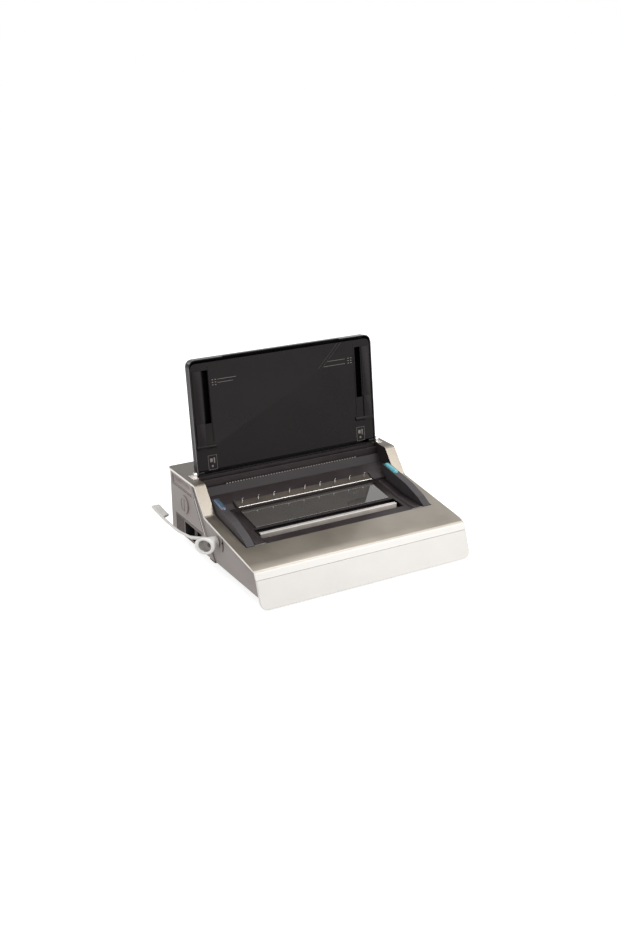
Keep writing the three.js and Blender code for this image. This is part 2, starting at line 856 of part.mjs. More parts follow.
// Floor pan with low side walls and two ribs that carry the chip drawer
function basePan() {
  const half = innerSide - seat;
  const wallRear = rearPanelReach - rearWall - seat;
  const floor = block(-half, half, panFrontReach, rearPanelReach, panBottom, panTop);
  const walls = [-1, 1].map((side) => prismX([
    [wallRear, panBottom],
    [wallRear, panWallTop],
    [panWallFrontReach, panWallTop],
    [panFrontReach, panTop],
    [panFrontReach, panBottom],
  ], ...onSide(side, half - panWall, half)));
  const ribs = [chipFrontReach + chipRibInset, chipRearReach - chipRibInset - chipRibWidth].map((y) => block(
    -half, chassisReach - seat, y, y + chipRibWidth, panBottom, chipFloor - seat));
  const doorway = block(
    -half - overrun, -half + panWall + overrun, chipFrontReach - slideGap, chipRearReach + slideGap,
    chipFloor - seat, panWallTop + overrun);
  return joined(floor, ...walls, ...ribs).subtract(doorway);
}

function rubberFoot(x, y) {
  const high = panBottom - seat;
  const profile = [[0, 0], [footRadius - footRound, 0], [footRadius, footRound], [footWaist, high], [0, high]];
  const points = profile.map(([radius, height]) => new THREE.Vector2(radius, height));
  return solidOf(new THREE.LatheGeometry(points, roundSides).rotateX(Math.PI / 2).translate(x, y, 0));
}

// The deck is a bent plate with the closing slot, and a low rib each side
function workDeck() {
  const under = deckLine.map(([y, z], i) => [i === 3 || i === 4 ? y + deckWall : y, z - deckWall]);
  const half = recessHalf - seat;
  const plate = prismX([...deckLine, ...under.reverse()], -half, half);
  const slot = block(
    -slotHalfWidth, slotHalfWidth, slotFrontReach, slotRearReach,
    frontDeckHeight - overrun, anvilHeight + overrun);
  return joined(plate.subtract(slot), deckRib(-1), deckRib(1));
}

// A rib is carried along the deck line in straight spans and is bevelled on its inner side.
function deckRib(side) {
  const rear = coverRearReach - seat;
  const line = [
    [recessFrontReach + deckRibLead, frontDeckHeight], ...deckLine.slice(1, 3), [rear, smokedPlaneAt(rear)]];
  const outer = deckRibReach + deckRibWidth;
  const section = [
    [deckRibReach, -deckWall / 2], [outer, -deckWall / 2], [outer, deckRibTall],
    [deckRibReach + deckRibBevel, deckRibTall]];
  return joined(...line.slice(1).map((end, i) => wasm.Manifold.hull([line[i], end].flatMap(([y, z]) =>
    section.map(([x, lift]) => [side * x, y, z + lift])))));
}

// Side frame: its top follows the underside of the deck, and a ledge carries the jaw carriage
function chassis(side) {
  const drop = deckWall + seat;
  const outline = [
    [chassisFrontReach, panTop + seat],
    [chassisFrontReach, frontDeckHeight - drop],
    [slotFrontReach, frontDeckHeight - drop],
    [slotRearReach, anvilHeight - drop],
    [coverRearReach + drop, coverRearHeight - drop],
    [coverRearReach + drop, holderFootHeight - drop],
    [holderTopReach, holderTopHeight - drop],
    [deckRearReach, plateTop],
    [chassisRearReach, plateTop],
    [chassisRearReach, panTop + seat],
  ];
  const plate = prismX(outline, ...onSide(side, chassisReach, chassisReach + chassisWall));
  const ledge = block(
    ...onSide(side, chassisReach - ledgeWidth, chassisReach + chassisWall),
    carriageFrontReach - slideGap, carriageRearReach + closerTravel + slideGap, ledgeTop - ledgeWall, ledgeTop);
  const through = onSide(side, chassisReach - overrun, chassisReach + chassisWall + overrun);
  const cuts = [
    rodX(crankReach, pinHeight, crankRadius + seat, ...through, shaftSides),
    rodX(leverReach, leverHeight, bushSleeve + seat, ...through),
  ];
  if (side < 0) {
    cuts.push(block(
      ...through, chipFrontReach - slideGap, chipRearReach + slideGap, panTop, chipTop + slideGap));
    cuts.push(rodX(knobReach, knobHeight, spindleRadius + slideGap, ...through, shaftSides));
  }
  return plate.add(ledge).subtract(joined(...cuts));
}

// Places of the pins across the width.
function pinPlaces() {
  return Array.from({ length: pinCount }, (_, i) => (i - (pinCount - 1) / 2) * pinPitch);
}

// One of the two steel plates, with a square hole for each pin
function punchPlate(yLow) {
  const half = chassisReach - seat;
  const side = pinSide / 2 + seat;
  const holes = pinPlaces().map((x) => block(
    x - side, x + side, yLow - overrun, yLow + plateWall + overrun, pinHeight - side, pinHeight + side));
  return block(-half, half, yLow, yLow + plateWall, plateBottom, plateTop).subtract(joined(...holes));
}

function paperStop() {
  return block(
    -barHalfWidth, barHalfWidth, throatReach - paperGap / 2 + seat, throatReach + paperGap / 2 - seat,
    plateBottom, paperStopTop);
}

// Bar with the pins in front and two yokes behind
function punchBar() {
  const bar = block(
    -barHalfWidth, barHalfWidth, barReach, barReach + barWall,
    pinHeight - barTall / 2, pinHeight + barTall / 2);
  const half = pinSide / 2;
  const pins = pinPlaces().map((x) => block(
    x - half, x + half, guideFront + pinRetract, barReach + barWall / 2, pinHeight - half, pinHeight + half));
  return joined(bar, ...pins, yoke(-eccentricReach), yoke(eccentricReach));
}

// A yoke's slot is as wide as the eccentric and tall enough for its swing.
function yoke(x) {
  const half = eccentricWide / 2 - seat;
  const slotWide = eccentricRadius + yokePlay;
  const slotTall = eccentricRadius + eccentricThrow + yokePlay;
  const middle = crankReach + eccentricThrow;
  const frame = block(
    x - half, x + half, barReach + barWall / 2, middle + slotWide + yokeWall,
    pinHeight - slotTall - yokeWall, pinHeight + slotTall + yokeWall);
  return frame.subtract(block(
    x - half - overrun, x + half + overrun, middle - slotWide, middle + slotWide,
    pinHeight - slotTall, pinHeight + slotTall));
}

function crankShaft() {
  const end = chassisReach + chassisWall;
  const shaft = rodX(crankReach, pinHeight, crankRadius, -end, end, shaftSides);
  const discs = [-eccentricReach, eccentricReach].map((x) => rodX(
    crankReach + eccentricThrow, pinHeight, eccentricRadius, x - eccentricWide / 2, x + eccentricWide / 2));
  return joined(shaft, ...discs);
}

// A spur gear with straight flanks, with the middle of one tooth at the given angle.
function spurGear(teeth, size, toothAngle, y, z, xLow, xHigh) {
  const step = 2 * Math.PI / teeth;
  const root = size * (teeth / 2 - dedendumShare);
  const tip = size * (teeth / 2 + addendumShare);
  const corners = [
    [root, -toothRootShare], [tip, -toothTipShare], [tip, toothTipShare], [root, toothRootShare]];
  const outline = Array.from({ length: teeth }, (_, i) => corners.map(([radius, share]) => {
    const angle = toothAngle + (i + share) * step;
    return [y + radius * Math.cos(angle), z + radius * Math.sin(angle)];
  })).flat();
  return prismX(outline, xLow, xHigh);
}

function driveGear() {
  const wheel = spurGear(
    gearTeeth, gearModule, motorTurn, crankReach, pinHeight, gearReach, gearReach + gearWide);
  const boss = rodX(
    crankReach, pinHeight, crankRadius + gearBossWall, gearReach - gearBossWall, gearReach + gearWide);
  return wheel.add(boss).subtract(rodX(
    crankReach, pinHeight, crankRadius + seat,
    gearReach - overrun, gearReach + gearWide + overrun, shaftSides));
}

function motorPinion() {
  const toothAngle = motorTurn + Math.PI + Math.PI / driveTeeth;
  const end = gearReach + gearWide + slideGap;
  const wheel = spurGear(
    driveTeeth, gearModule, toothAngle, motorReach, motorHeight, gearReach - slideGap, end);
  return wheel.add(rodX(motorReach, motorHeight, motorShaftRadius, motorFace + seat, end, smallSides));
}

function motor() {
  const rear = motorFace - motorLength;
  const body = rodX(motorReach, motorHeight, motorRadius, rear, motorFace);
  return body.add(rodX(motorReach, motorHeight, motorCapRadius, rear - motorCapLength, rear + overrun));
}

function motorBracket() {
  const rear = rearPanelReach - rearWall - seat;
  const roof = motorHeight + motorRadius + bracketRim;
  const front = motorReach - motorRadius - bracketRim;
  const overShaft = pinHeight + crankRadius + bracketRim;
  const floor = panTop + seat;
  const outer = bracketInner + bracketWall;
  const plate = prismX([
    [bracketFootReach, floor], [rear, floor], [rear, roof], [front, roof], [front, overShaft],
    [bracketFootReach, overShaft],
  ], bracketInner, outer);
  const foot = block(
    bracketInner - bracketFootWide, outer, bracketFootReach, rear, floor, floor + bracketWall);
  return plate.add(foot).subtract(rodX(
    motorReach, motorHeight, motorShaftRadius + slideGap, bracketInner - overrun, outer + overrun, shaftSides));
}

// Closing shaft with a pinion over each rack
function closerShaft() {
  const shaft = rodX(
    leverReach, leverHeight, closerShaftRadius, -halfWidth - hubSpigot, chassisReach + chassisWall + bushWall,
    shaftSides);
  const toothAngle = -Math.PI / 2 + Math.PI / closerTeeth;
  const pinions = [-closerPinionReach, closerPinionReach].map((x) => spurGear(
    closerTeeth, closerModule, toothAngle, leverReach, leverHeight,
    x - closerPinionWide / 2, x + closerPinionWide / 2));
  return joined(shaft, ...pinions);
}

// Plate that slides on the frames' ledges and carries the racks
function jawCarriage() {
  const half = chassisReach - slideGap;
  const plate = block(
    -half, half, carriageFrontReach, carriageRearReach, carriageTop - carriageWall, carriageTop);
  return joined(plate, rack(-closerPinionReach), rack(closerPinionReach));
}

// A tooth of the rack stands in the space between the pinion's two lowest teeth.
function rack(x) {
  const pitch = Math.PI * closerModule;
  const line = leverHeight - closerRadius;
  const root = line - closerModule * dedendumShare;
  const tip = line + closerModule * addendumShare;
  const corners = [
    [root, toothRootShare], [tip, toothTipShare], [tip, -toothTipShare], [root, -toothRootShare]];
  const teeth = Array.from({ length: rackTeeth }, (_, i) => corners.map(([height, share]) => [
    leverReach + (rackLeadTeeth - i + share) * pitch, height,
  ])).flat();
  const rear = teeth[0][0];
  const front = teeth[teeth.length - 1][0];
  const low = carriageTop - carriageWall / 2;
  return prismX([[rear, low], ...teeth, [front, low]], x - closerPinionWide / 2, x + closerPinionWide / 2);
}

function closerBar() {
  const low = carriageTop + seat;
  const front = jawRearReach - jawDepth;
  return prismX([
    [jawRearReach, jawTop],
    [front + jawNose, jawTop],
    [front, jawTop - jawNose],
    [front, low + jawFootWall],
    [front - jawFootFront, low + jawFootWall],
    [front - jawFootFront, low],
    [jawRearReach, low],
    [jawRearReach, low + jawFootWall],
    [front + jawWebWall, low + jawFootWall],
    [front + jawWebWall, jawTop - jawLipTall],
    [jawRearReach, jawTop - jawLipTall],
  ], -jawHalfWidth, jawHalfWidth);
}

function shaftBush(side) {
  const outer = chassisReach + chassisWall;
  const sleeve = rodX(leverReach, leverHeight, bushSleeve, ...onSide(side, chassisReach, outer + bushWall));
  const flange = rodX(leverReach, leverHeight, bushFlange, ...onSide(side, outer + seat, outer + bushWall));
  return sleeve.add(flange).subtract(rodX(
    leverReach, leverHeight, closerShaftRadius + seat,
    ...onSide(side, chassisReach - overrun, outer + bushWall + overrun), shaftSides));
}

// Hub cut on a slant with a cup in its end, a thin bowed arm and a flat paddle
function closerLever() {
  const slope = Math.tan(THREE.MathUtils.degToRad(hubSlant));
  const face = -halfWidth - seat;
  const armFar = -halfWidth - armOuter;
  const middle = -halfWidth - hubReach;
  const swing = hubRadius + overrun;
  const hub = rodX(leverReach, leverHeight, hubRadius, middle - hubRadius * slope, face);
  const beyond = prismZ([
    [middle - swing * slope, leverReach + swing],
    [middle + swing * slope, leverReach - swing],
    [armFar - swing, leverReach - swing],
    [armFar - swing, leverReach + swing],
  ], leverHeight - swing, leverHeight + swing);
  const cup = rodX(leverReach, leverHeight, hubCupRadius, armFar - swing, middle + hubCupDepth);
  const bore = rodX(
    leverReach, leverHeight, closerShaftRadius + seat,
    -halfWidth - hubSpigot - seat, face + overrun, shaftSides);
  const armNeckReach = armRootReach + armNeckLead;
  const armSagReach = armNeckReach + armSagLead;
  const armBendReach = armSagReach + armBendLead;
  const paddleFootReach = armBendReach + paddleFootLead;
  const bow = new THREE.CatmullRomCurve3([
    [armRootReach, armRootRise], [armNeckReach, armNeckRise], [armSagReach, armSagRise],
    [armBendReach, armBendRise], [paddleFootReach, paddleFootRise],
  ].map(([y, z]) => new THREE.Vector3(0, leverReach + y, leverHeight + z)));
  const paddleTip = paddleFootReach + paddleLong;
  const lower = bow.getPoints(armSteps).map((point) => [point.y, point.z]);
  const upper = lower.slice().reverse().map(([y, z]) => [y, z + armTall]);
  const rootCount = Math.ceil(armSteps / 4);
  const arm = prismX([...lower, ...upper], armFar, armFar + armWide);
  const root = prismX([...lower.slice(0, rootCount), ...upper.slice(-rootCount)], armFar, armFar + armRootWide);
  const paddle = prismX([
    [paddleFootReach - paddleRound, paddleFootRise],
    [paddleTip - paddleRound, paddleTipRise],
    [paddleTip, paddleTipRise + paddleTall / 2],
    [paddleTip - paddleRound / 3, paddleTipRise + paddleTall],
    [paddleFootReach, paddleFootRise + paddleTall],
    [paddleFootReach - paddleRound, paddleFootRise + armTall],
  ].map(([y, z]) => [leverReach + y, leverHeight + z]), armFar, armFar + paddleWide);
  return joined(hub, arm, root, paddle).subtract(joined(beyond, cup, bore));
}

// Bent strip on the deck's slope, with a row of hooks for the wire element
function wireHolder() {
  const front = coverRearReach - seat;
  const strip = prismX([
    [front, holderFootHeight - stripLip],
    [front, holderFootHeight + seat],
    [holderTopReach, holderTopHeight + seat],
    [holderTopReach, holderTopHeight + seat + stripWall],
    [front - stripWall, holderFootHeight + seat + stripWall],
    [front - stripWall, holderFootHeight - stripLip],
  ], -stripHalfWidth, stripHalfWidth);
  const stem = coverRearReach + (holderTopReach - coverRearReach) * hookSeatShare;
  const low = planeAt(deckLine[4], deckLine[5], stem) + seat + stripWall / 2;
  const hooks = Array.from({ length: hookCount }, (_, i) => {
    const x = (i - (hookCount - 1) / 2) * hookPitch;
    return prismX([
      [stem, low],
      [stem + hookWall, low],
      [stem + hookWall, low + hookTall],
      [stem - hookBeak, low + hookTall],
      [stem - hookBeak, low + hookTall - hookWall],
      [stem, low + hookTall - hookWall],
    ], x - hookWide / 2, x + hookWide / 2);
  });
  return joined(strip, ...hooks);
}

function smokedCover() {
  const low = [smokedFrontReach, smokedRearReach].map((y) => [y, smokedPlaneAt(y) + seat]);
  const high = low.slice().reverse().map(([y, z]) => [y, z + smokedWall]);
  return prismX([...low, ...high], -smokedHalfWidth, smokedHalfWidth);
}

function throatBar() {
  const rear = throatReach - throatGap / 2;
  const front = deckRearReach + seat;
  const half = recessHalf - seat;
  return prismX([
    [rear, throatBarTop],
    [rear - throatBarLip, throatBarTop],
    [front, deckRearHeight],
    [front, plateTop + seat],
    [rear, plateTop + seat],
  ], -half, half);
}

// Rear side of the throat, with a window for the edge guide
function throatBack() {
  const front = throatReach + throatGap / 2;
  const half = recessHalf - seat;
  const low = plateTop + seat;
  const wall = block(-half, half, front, front + throatBackWall, low, throatBackTop);
  return wall.subtract(block(
    -guideReach - guideWide - slideGap, -guideReach + guideTravel + slideGap,
    front - overrun, front + throatBackWall + overrun, low - overrun, guideBridgeTop + slideGap));
}

// A ramp follows the deck below and has an oval pocket near its rear for a button
function ramp(side) {
  const outline = rounded([
    [rampFrontReach, frontDeckHeight + seat + rampFrontRise],
    [rampLowReach, rampLowHeight, rampRound],
    [rampKneeReach, rampKneeHeight, rampRound],
    [rampRearReach, rampRearHeight, rampRound],
    [rampRearReach, rearPlaneAt(rampRearReach) + seat],
    [holderTopReach, holderTopHeight + seat],
    [coverRearReach - seat, holderFootHeight + seat],
    [coverRearReach - seat, coverRearHeight + seat],
    [slotRearReach, anvilHeight + seat],
    [slotFrontReach, frontDeckHeight + seat],
    [rampFrontReach, frontDeckHeight + seat],
  ]);
  const middle = side * (rampInner + rampOuter) / 2;
  return prismX(outline, ...onSide(side, rampInner, rampOuter)).subtract(prismZ(
    oval(middle, buttonReach, buttonLong / 2 + buttonGap, buttonWide / 2 + buttonGap),
    buttonFloor, rampRearHeight + overrun));
}

// An oval with straight sides, long in Y.
function oval(x, y, halfLong, halfWide) {
  return [1, -1].flatMap((end) => Array.from({ length: ovalSteps + 1 }, (_, k) => {
    const angle = Math.PI * k / ovalSteps;
    return [
      x + end * halfWide * Math.cos(angle),
      y + end * (halfLong - halfWide + halfWide * Math.sin(angle)),
    ];
  }));
}

function punchButton(side) {
  const x = side * (rampInner + rampOuter) / 2;
  const low = buttonFloor + buttonTravel + seat;
  const front = buttonReach - buttonLong / 2;
  const rear = buttonReach + buttonLong / 2;
  const body = prismZ(oval(x, buttonReach, buttonLong / 2, buttonWide / 2), low, rampRearHeight + overrun);
  const crown = prismX(rounded([
    [front - seat, low - seat],
    [front - seat, rampPlaneAt(front) + buttonProud / 2],
    [front + buttonWide / 2, rampPlaneAt(front + buttonWide / 2) + buttonProud, buttonWide],
    [rear - buttonWide / 2, rampPlaneAt(rear - buttonWide / 2) + buttonProud, buttonWide],
    [rear + seat, rampPlaneAt(rear) + buttonProud / 2],
    [rear + seat, low - seat],
  ]), x - buttonWide, x + buttonWide);
  return body.intersect(crown);
}

// The lid is drawn about its hinge line: Z up along it, Y through it to the rear
const lid = new THREE.Group();

function lidOutline(gap, foot, top) {
  const half = lidHalfWidth - gap;
  return rounded([
    [-half, foot],
    [half, foot],
    [half, top, lidCorner - gap],
    [-half, top, lidCorner - gap],
  ]);
}

function lidShell() {
  const outer = prismY(lidOutline(0, -lidFoot, lidTop), -lidInner, lidOuter);
  const hollow = prismY(
    lidOutline(lidWall, -lidFoot + lidWall, lidTop - lidWall), -lidInner - overrun, lidOuter - lidWall);
  const notch = block(
    -notchHalfWidth, notchHalfWidth, -lidInner - overrun, -lidInner + notchDepth, lidTop - notchDepth,
    lidTop + overrun);
  const bosses = [-1, 1].map((side) => rodX(
    0, 0, hingeBoss, ...onSide(side, hingePinInner - lugSkin, lidHalfWidth - lidWall / 2), shaftSides));
  const bores = [-1, 1].map((side) => rodX(
    0, 0, hingePinRadius + seat, ...onSide(side, hingePinInner - seat, lidHalfWidth + overrun), smallSides));
  return outer.subtract(hollow.add(notch)).add(joined(...bosses)).subtract(joined(...bores));
}

// Inner panel with a slot each side, a raised border beside it, and a thicker pad over a ledge bead
function lidLiner() {
  const gap = lidWall + seat;
  const half = lidHalfWidth - gap;
  const face = -lidInner + linerInset;
  const back = face + linerWall;
  const plate = prismY(lidOutline(gap, hingeBoss + slideGap, lidTop - notchDepth - seat), face, back);
  const slots = [-1, 1].map((side) => block(
    ...onSide(side, linerSlotInner, linerSlotOuter), face - overrun, back + overrun,
    linerSlotFoot, linerSlotTop));
  const beads = [-1, 1].map((side) => rodX(
    face + linerWall / 2, beadHeight, beadRadius, ...onSide(side, beadInner, half), smallSides));
  const posts = [-1, 1].map((side) => block(
    ...onSide(side, beadInner, beadInner + linerPost), face + linerWall / 2, lidOuter - lidWall - seat,
    beadHeight - linerPost / 2, beadHeight + linerPost / 2));
  const borders = [-1, 1].flatMap((side) => {
    const x = onSide(side, linerSlotOuter + borderGap, half - borderGap);
    return [
      block(...x, face - borderProud, back, linerSlotFoot, linerSlotTop),
      block(...x, face - padProud, back, linerSlotFoot - padLong, linerSlotFoot + borderGap),
    ];
  });
  return joined(plate, ...beads, ...posts, ...borders).subtract(joined(...slots));
}

function hingePin(side) {
  return rodX(
    0, 0, hingePinRadius, ...onSide(side, hingePinInner, recessHalf + lugWide - lugSkin - seat), smallSides);
}

// Front board below the seam, leaning like the casing's front, with round lower corners
function drawerFront() {
  const high = seamHeight - drawerSeam;
  const board = prismX([
    [frontPlaneAt(high), high],
    [lipReach, lipHeight],
    [lipReach + drawerFrontWall, lipHeight],
    [frontPlaneAt(high) + drawerFrontWall, high],
  ], -halfWidth, halfWidth);
  return board.intersect(prismY(rounded([
    [-halfWidth, lipHeight, drawerCorner],
    [halfWidth, lipHeight, drawerCorner],
    [halfWidth, high],
    [-halfWidth, high],
  ]), lipReach - overrun, seamReach + overrun * 2));
}

function drawerTray() {
  const backAt = (height) => frontPlaneAt(height) + drawerFrontWall + seat;
  const outer = prismX([
    [backAt(drawerFloor), drawerFloor],
    [drawerRearReach, drawerFloor],
    [drawerRearReach, drawerTop],
    [backAt(drawerTop), drawerTop],
  ], -drawerHalfWidth, drawerHalfWidth);
  const high = drawerTop + overrun;
  return outer.subtract(prismX([
    [backAt(drawerFloor + drawerWall) + drawerWall, drawerFloor + drawerWall],
    [drawerRearReach - drawerWall, drawerFloor + drawerWall],
    [drawerRearReach - drawerWall, high],
    [backAt(high) + drawerWall, high],
  ], -drawerHalfWidth + drawerWall, drawerHalfWidth - drawerWall));
}

// Angle that carries one side of the storage drawer
function drawerRunner(side) {
  const floor = panTop + seat;
  const inner = drawerHalfWidth + slideGap;
  const wall = block(
    ...onSide(side, inner, inner + runnerWall), runnerFrontReach, drawerRearReach, floor, runnerTop);
  return wall.add(block(
    ...onSide(side, drawerHalfWidth - runnerFoot, inner + runnerWall), runnerFrontReach, drawerRearReach,
    floor, drawerFloor - seat));
}

// Face with a finger grip behind an upright bar, and an open tray behind it
function chipDrawer() {
  const face = -halfWidth;
  const back = face + gripDepth;
  const front = chipFrontReach + chipFaceGap;
  const rear = chipRearReach - chipFaceGap;
  const high = chipTop - chipFaceGap;
  const head = block(face, back + chipWall, front, rear, chipFloor, high);
  const body = block(
    face + chipWall, chipInnerReach, front + chipWall, rear - chipWall, chipFloor, chipTrayTop);
  const hollow = block(
    back + chipWall, chipInnerReach - chipWall, front + chipWall * 2, rear - chipWall * 2, chipFloor + chipWall,
    chipTrayTop + overrun);
  const grip = block(face - overrun, back, front + gripRim, gripRearReach, chipFloor + gripRim, high - gripRim);
  const rest = block(
    face - overrun, face + chipFaceGap, gripRearReach + chipRibWidth, rear - gripRim / 2,
    chipFloor + gripRim / 2, high - gripRim / 2);
  const bar = block(
    face + gripBarInset, face + gripBarInset + gripBarWall, gripBarFront, gripBarRear, chipFloor + gripRim / 2,
    high - gripRim / 2);
  return head.add(body).subtract(joined(hollow, grip, rest)).add(bar);
}

// Dished knob with a grip across it
function edgeKnob() {
  const face = -halfWidth - seat;
  const disc = rodX(knobReach, knobHeight, knobRadius, face - knobWall, face);
  const dish = rodX(
    knobReach, knobHeight, knobDish, face - knobWall - overrun, face - knobWall + knobDishDepth);
  return disc.subtract(dish).add(block(
    face - knobWall, face, knobReach - knobGripHalf, knobReach + knobGripHalf,
    knobHeight - knobDish, knobHeight + knobDish));
}

function guideSpindle() {
  return rodX(knobReach, knobHeight, spindleRadius, -halfWidth, -spindleInner, shaftSides);
}

// Nut block behind the plates, a bridge over them and a tongue down in the throat
function edgeGuide() {
  const x = [-guideReach - guideWide, -guideReach];
  const nut = block(
    ...x, guideFront + plateWall + slideGap, knobReach + guideBlock / 2,
    knobHeight - guideBlock / 2, guideBridgeTop);
  const bore = rodX(knobReach, knobHeight, spindleRadius + seat, x[0] - overrun, x[1] + overrun, shaftSides);
  const tongueFront = throatReach - guideTongue / 2;
  const bridge = block(...x, tongueFront, knobReach, plateTop + slideGap, guideBridgeTop);
  const tongue = block(...x, tongueFront, tongueFront + guideTongue, paperStopTop, guideBridgeTop);
  return joined(nut.subtract(bore), bridge, tongue);
}

// A flanged box open to the rear, set in the rear panel.
function rearFitting(xLow, wide, tall, deep) {
  const low = fittingHeight - tall / 2;
  const high = fittingHeight + tall / 2;
  const rear = rearPanelReach + seat;
  const xHigh = xLow + wide;
  const body = block(xLow, xHigh, rear - deep, rear + fittingWall, low, high);
  const flange = block(
    xLow - fittingFlange, xHigh + fittingFlange, rear, rear + fittingWall, low - fittingFlange,
    high + fittingFlange);
  return body.add(flange).subtract(block(
    xLow + fittingWall, xHigh - fittingWall, rear - deep + fittingWall, rear + overrun,
    low + fittingWall, high - fittingWall));
}

function mainsInlet() {
  const floor = rearPanelReach + seat - inletDeep;
  const pins = [-1, 0, 1].map((place) => {
    const x = inletReach + inletWide / 2 + place * inletPinPitch;
    const z = fittingHeight + (place === 0 ? inletPinRise : -inletPinRise);
    return block(
      x - inletPinWide / 2, x + inletPinWide / 2, floor + fittingWall / 2, rearPanelReach - inletPinInset,
      z - inletPinTall / 2, z + inletPinTall / 2);
  });
  return joined(rearFitting(inletReach, inletWide, inletTall, inletDeep), ...pins);
}

// The rocker is drawn about its own pivot and stored tipped to its off side
const rocker = new THREE.Group();

function powerRocker() {
  const half = switchTall / 2 - fittingWall - rockerGap;
  const wall = fittingWall + seat;
  return prismX([
    [-rockerDeep, -half * rockerNarrowShare],
    [rockerProud, -half],
    [rockerProud - rockerVee, 0],
    [rockerProud, half],
    [-rockerDeep, half * rockerNarrowShare],
  ], switchReach + wall, switchReach + switchWide - wall);
}

// Board beside the right frame, on four stand-offs, with a row of component blocks
function circuitBoard() {
  const face = chassisReach + chassisWall + seat;
  const low = face + standoffLong;
  const board = block(low, low + boardWall, boardFrontReach, boardRearReach, boardBottom, boardTop);
  const corners = [boardFrontReach + standoffSide, boardRearReach - standoffSide * 2].flatMap((y) =>
    [boardBottom + standoffSide, boardTop - standoffSide * 2].map((z) => block(
      face, low + boardWall / 2, y, y + standoffSide, z, z + standoffSide)));
  const step = (boardRearReach - boardFrontReach - standoffSide * 2) / boardBlocks;
  const blocks = Array.from({ length: boardBlocks }, (_, i) => {
    const y = boardFrontReach + standoffSide + step * i;
    return block(
      low + boardWall / 2, low + boardWall + boardBlockTall * (boardBlocks - i) / boardBlocks,
      y, y + step * boardBlockShare, boardBottom + standoffSide * 2, boardTop - standoffSide * (2 + i));
  });
  return joined(board, ...corners, ...blocks);
}

piece("top_cover", topCover(), silver);
piece("rear_panel", rearPanel(), blackPlastic);
piece("base_pan", basePan(), blackPlastic);
for (const [side, name] of [[-1, "left"], [1, "right"]]) {
  piece(`side_panel_${name}`, sidePanel(side), sideGrey);
  piece(`side_skirt_${name}`, sideSkirt(side), sideGrey);
  piece(`handle_cup_${name}`, handleCup(side), blackPlastic);
  piece(`chassis_${name}`, chassis(side), steel);
  piece(`shaft_bush_${name}`, shaftBush(side), brass);
  piece(`ramp_${name}`, ramp(side), darkPlastic);
  piece(`punch_button_${name}`, punchButton(side), blueClear);
  piece(`drawer_runner_${name}`, drawerRunner(side), steel);
  piece(`lid_hinge_pin_${name}`, hingePin(side), steel, lid);
  piece(`lid_bracket_${name}`, lidBracket(side), aluminium);
  const x = side * (halfWidth - footInset);
  piece(`foot_front_${name}`, rubberFoot(x, footFrontReach), rubber);
  piece(`foot_rear_${name}`, rubberFoot(x, footRearReach), rubber);
}
piece("work_deck", workDeck(), darkPlastic);
piece("throat_bar", throatBar(), darkPlastic);
piece("throat_back", throatBack(), darkPlastic);
piece("die_plate", punchPlate(dieFront), steel);
piece("guide_plate", punchPlate(guideFront), steel);
piece("paper_stop", paperStop(), steel);
piece("punch_bar", punchBar(), steel);
piece("crank_shaft", crankShaft(), steel);
piece("drive_gear", driveGear(), steel);
piece("motor_pinion", motorPinion(), brass);
piece("motor", motor(), steel);
piece("motor_bracket", motorBracket(), steel);
piece("closer_shaft", closerShaft(), steel);
piece("jaw_carriage", jawCarriage(), steel);
piece("closer_bar", closerBar(), aluminium);
piece("closer_lever", closerLever(), offWhite);
piece("wire_holder", wireHolder(), bronze);
piece("smoked_cover", smokedCover(), smoked);
piece("lid_shell", lidShell(), darkPlastic, lid);
piece("lid_liner", lidLiner(), darkPlastic, lid);
piece("drawer_front", drawerFront(), silver);
piece("drawer_tray", drawerTray(), blackPlastic);
piece("chip_drawer", chipDrawer(), darkPlastic);
piece("edge_guide_knob", edgeKnob(), sideGrey);
piece("guide_spindle", guideSpindle(), steel);
piece("edge_guide", edgeGuide(), steel);
piece("mains_inlet", mainsInlet(), blackPlastic);
piece("switch_body", rearFitting(switchReach, switchWide, switchTall, switchDeep), blackPlastic);
piece("power_rocker", powerRocker(), blackPlastic, rocker);
piece("circuit_board", circuitBoard(), boardGreen);

lid.position.set(0, lidHingeReach, lidHingeHeight);
lid.rotation.x = -THREE.MathUtils.degToRad(lidLean);
rocker.position.set(0, rearPanelReach + seat + fittingWall, fittingHeight);
rocker.rotation.x = -THREE.MathUtils.degToRad(rockerTilt);
machine.add(lid, rocker);

// The origin is the middle of the footprint, at table height
const bounds = new THREE.Box3().setFromObject(machine);
const middle = bounds.getCenter(new THREE.Vector3());
machine.position.set(-middle.x, -middle.y, -bounds.min.z);

export default machine;
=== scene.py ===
# Electric wire binding machine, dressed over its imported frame.
# Sizes are typed in machine millimetres (+X right, +Y rear, +Z up) and moved to the row frame in metres.
import json
import math

import bmesh
import bpy
import numpy as np
from mathutils import Matrix

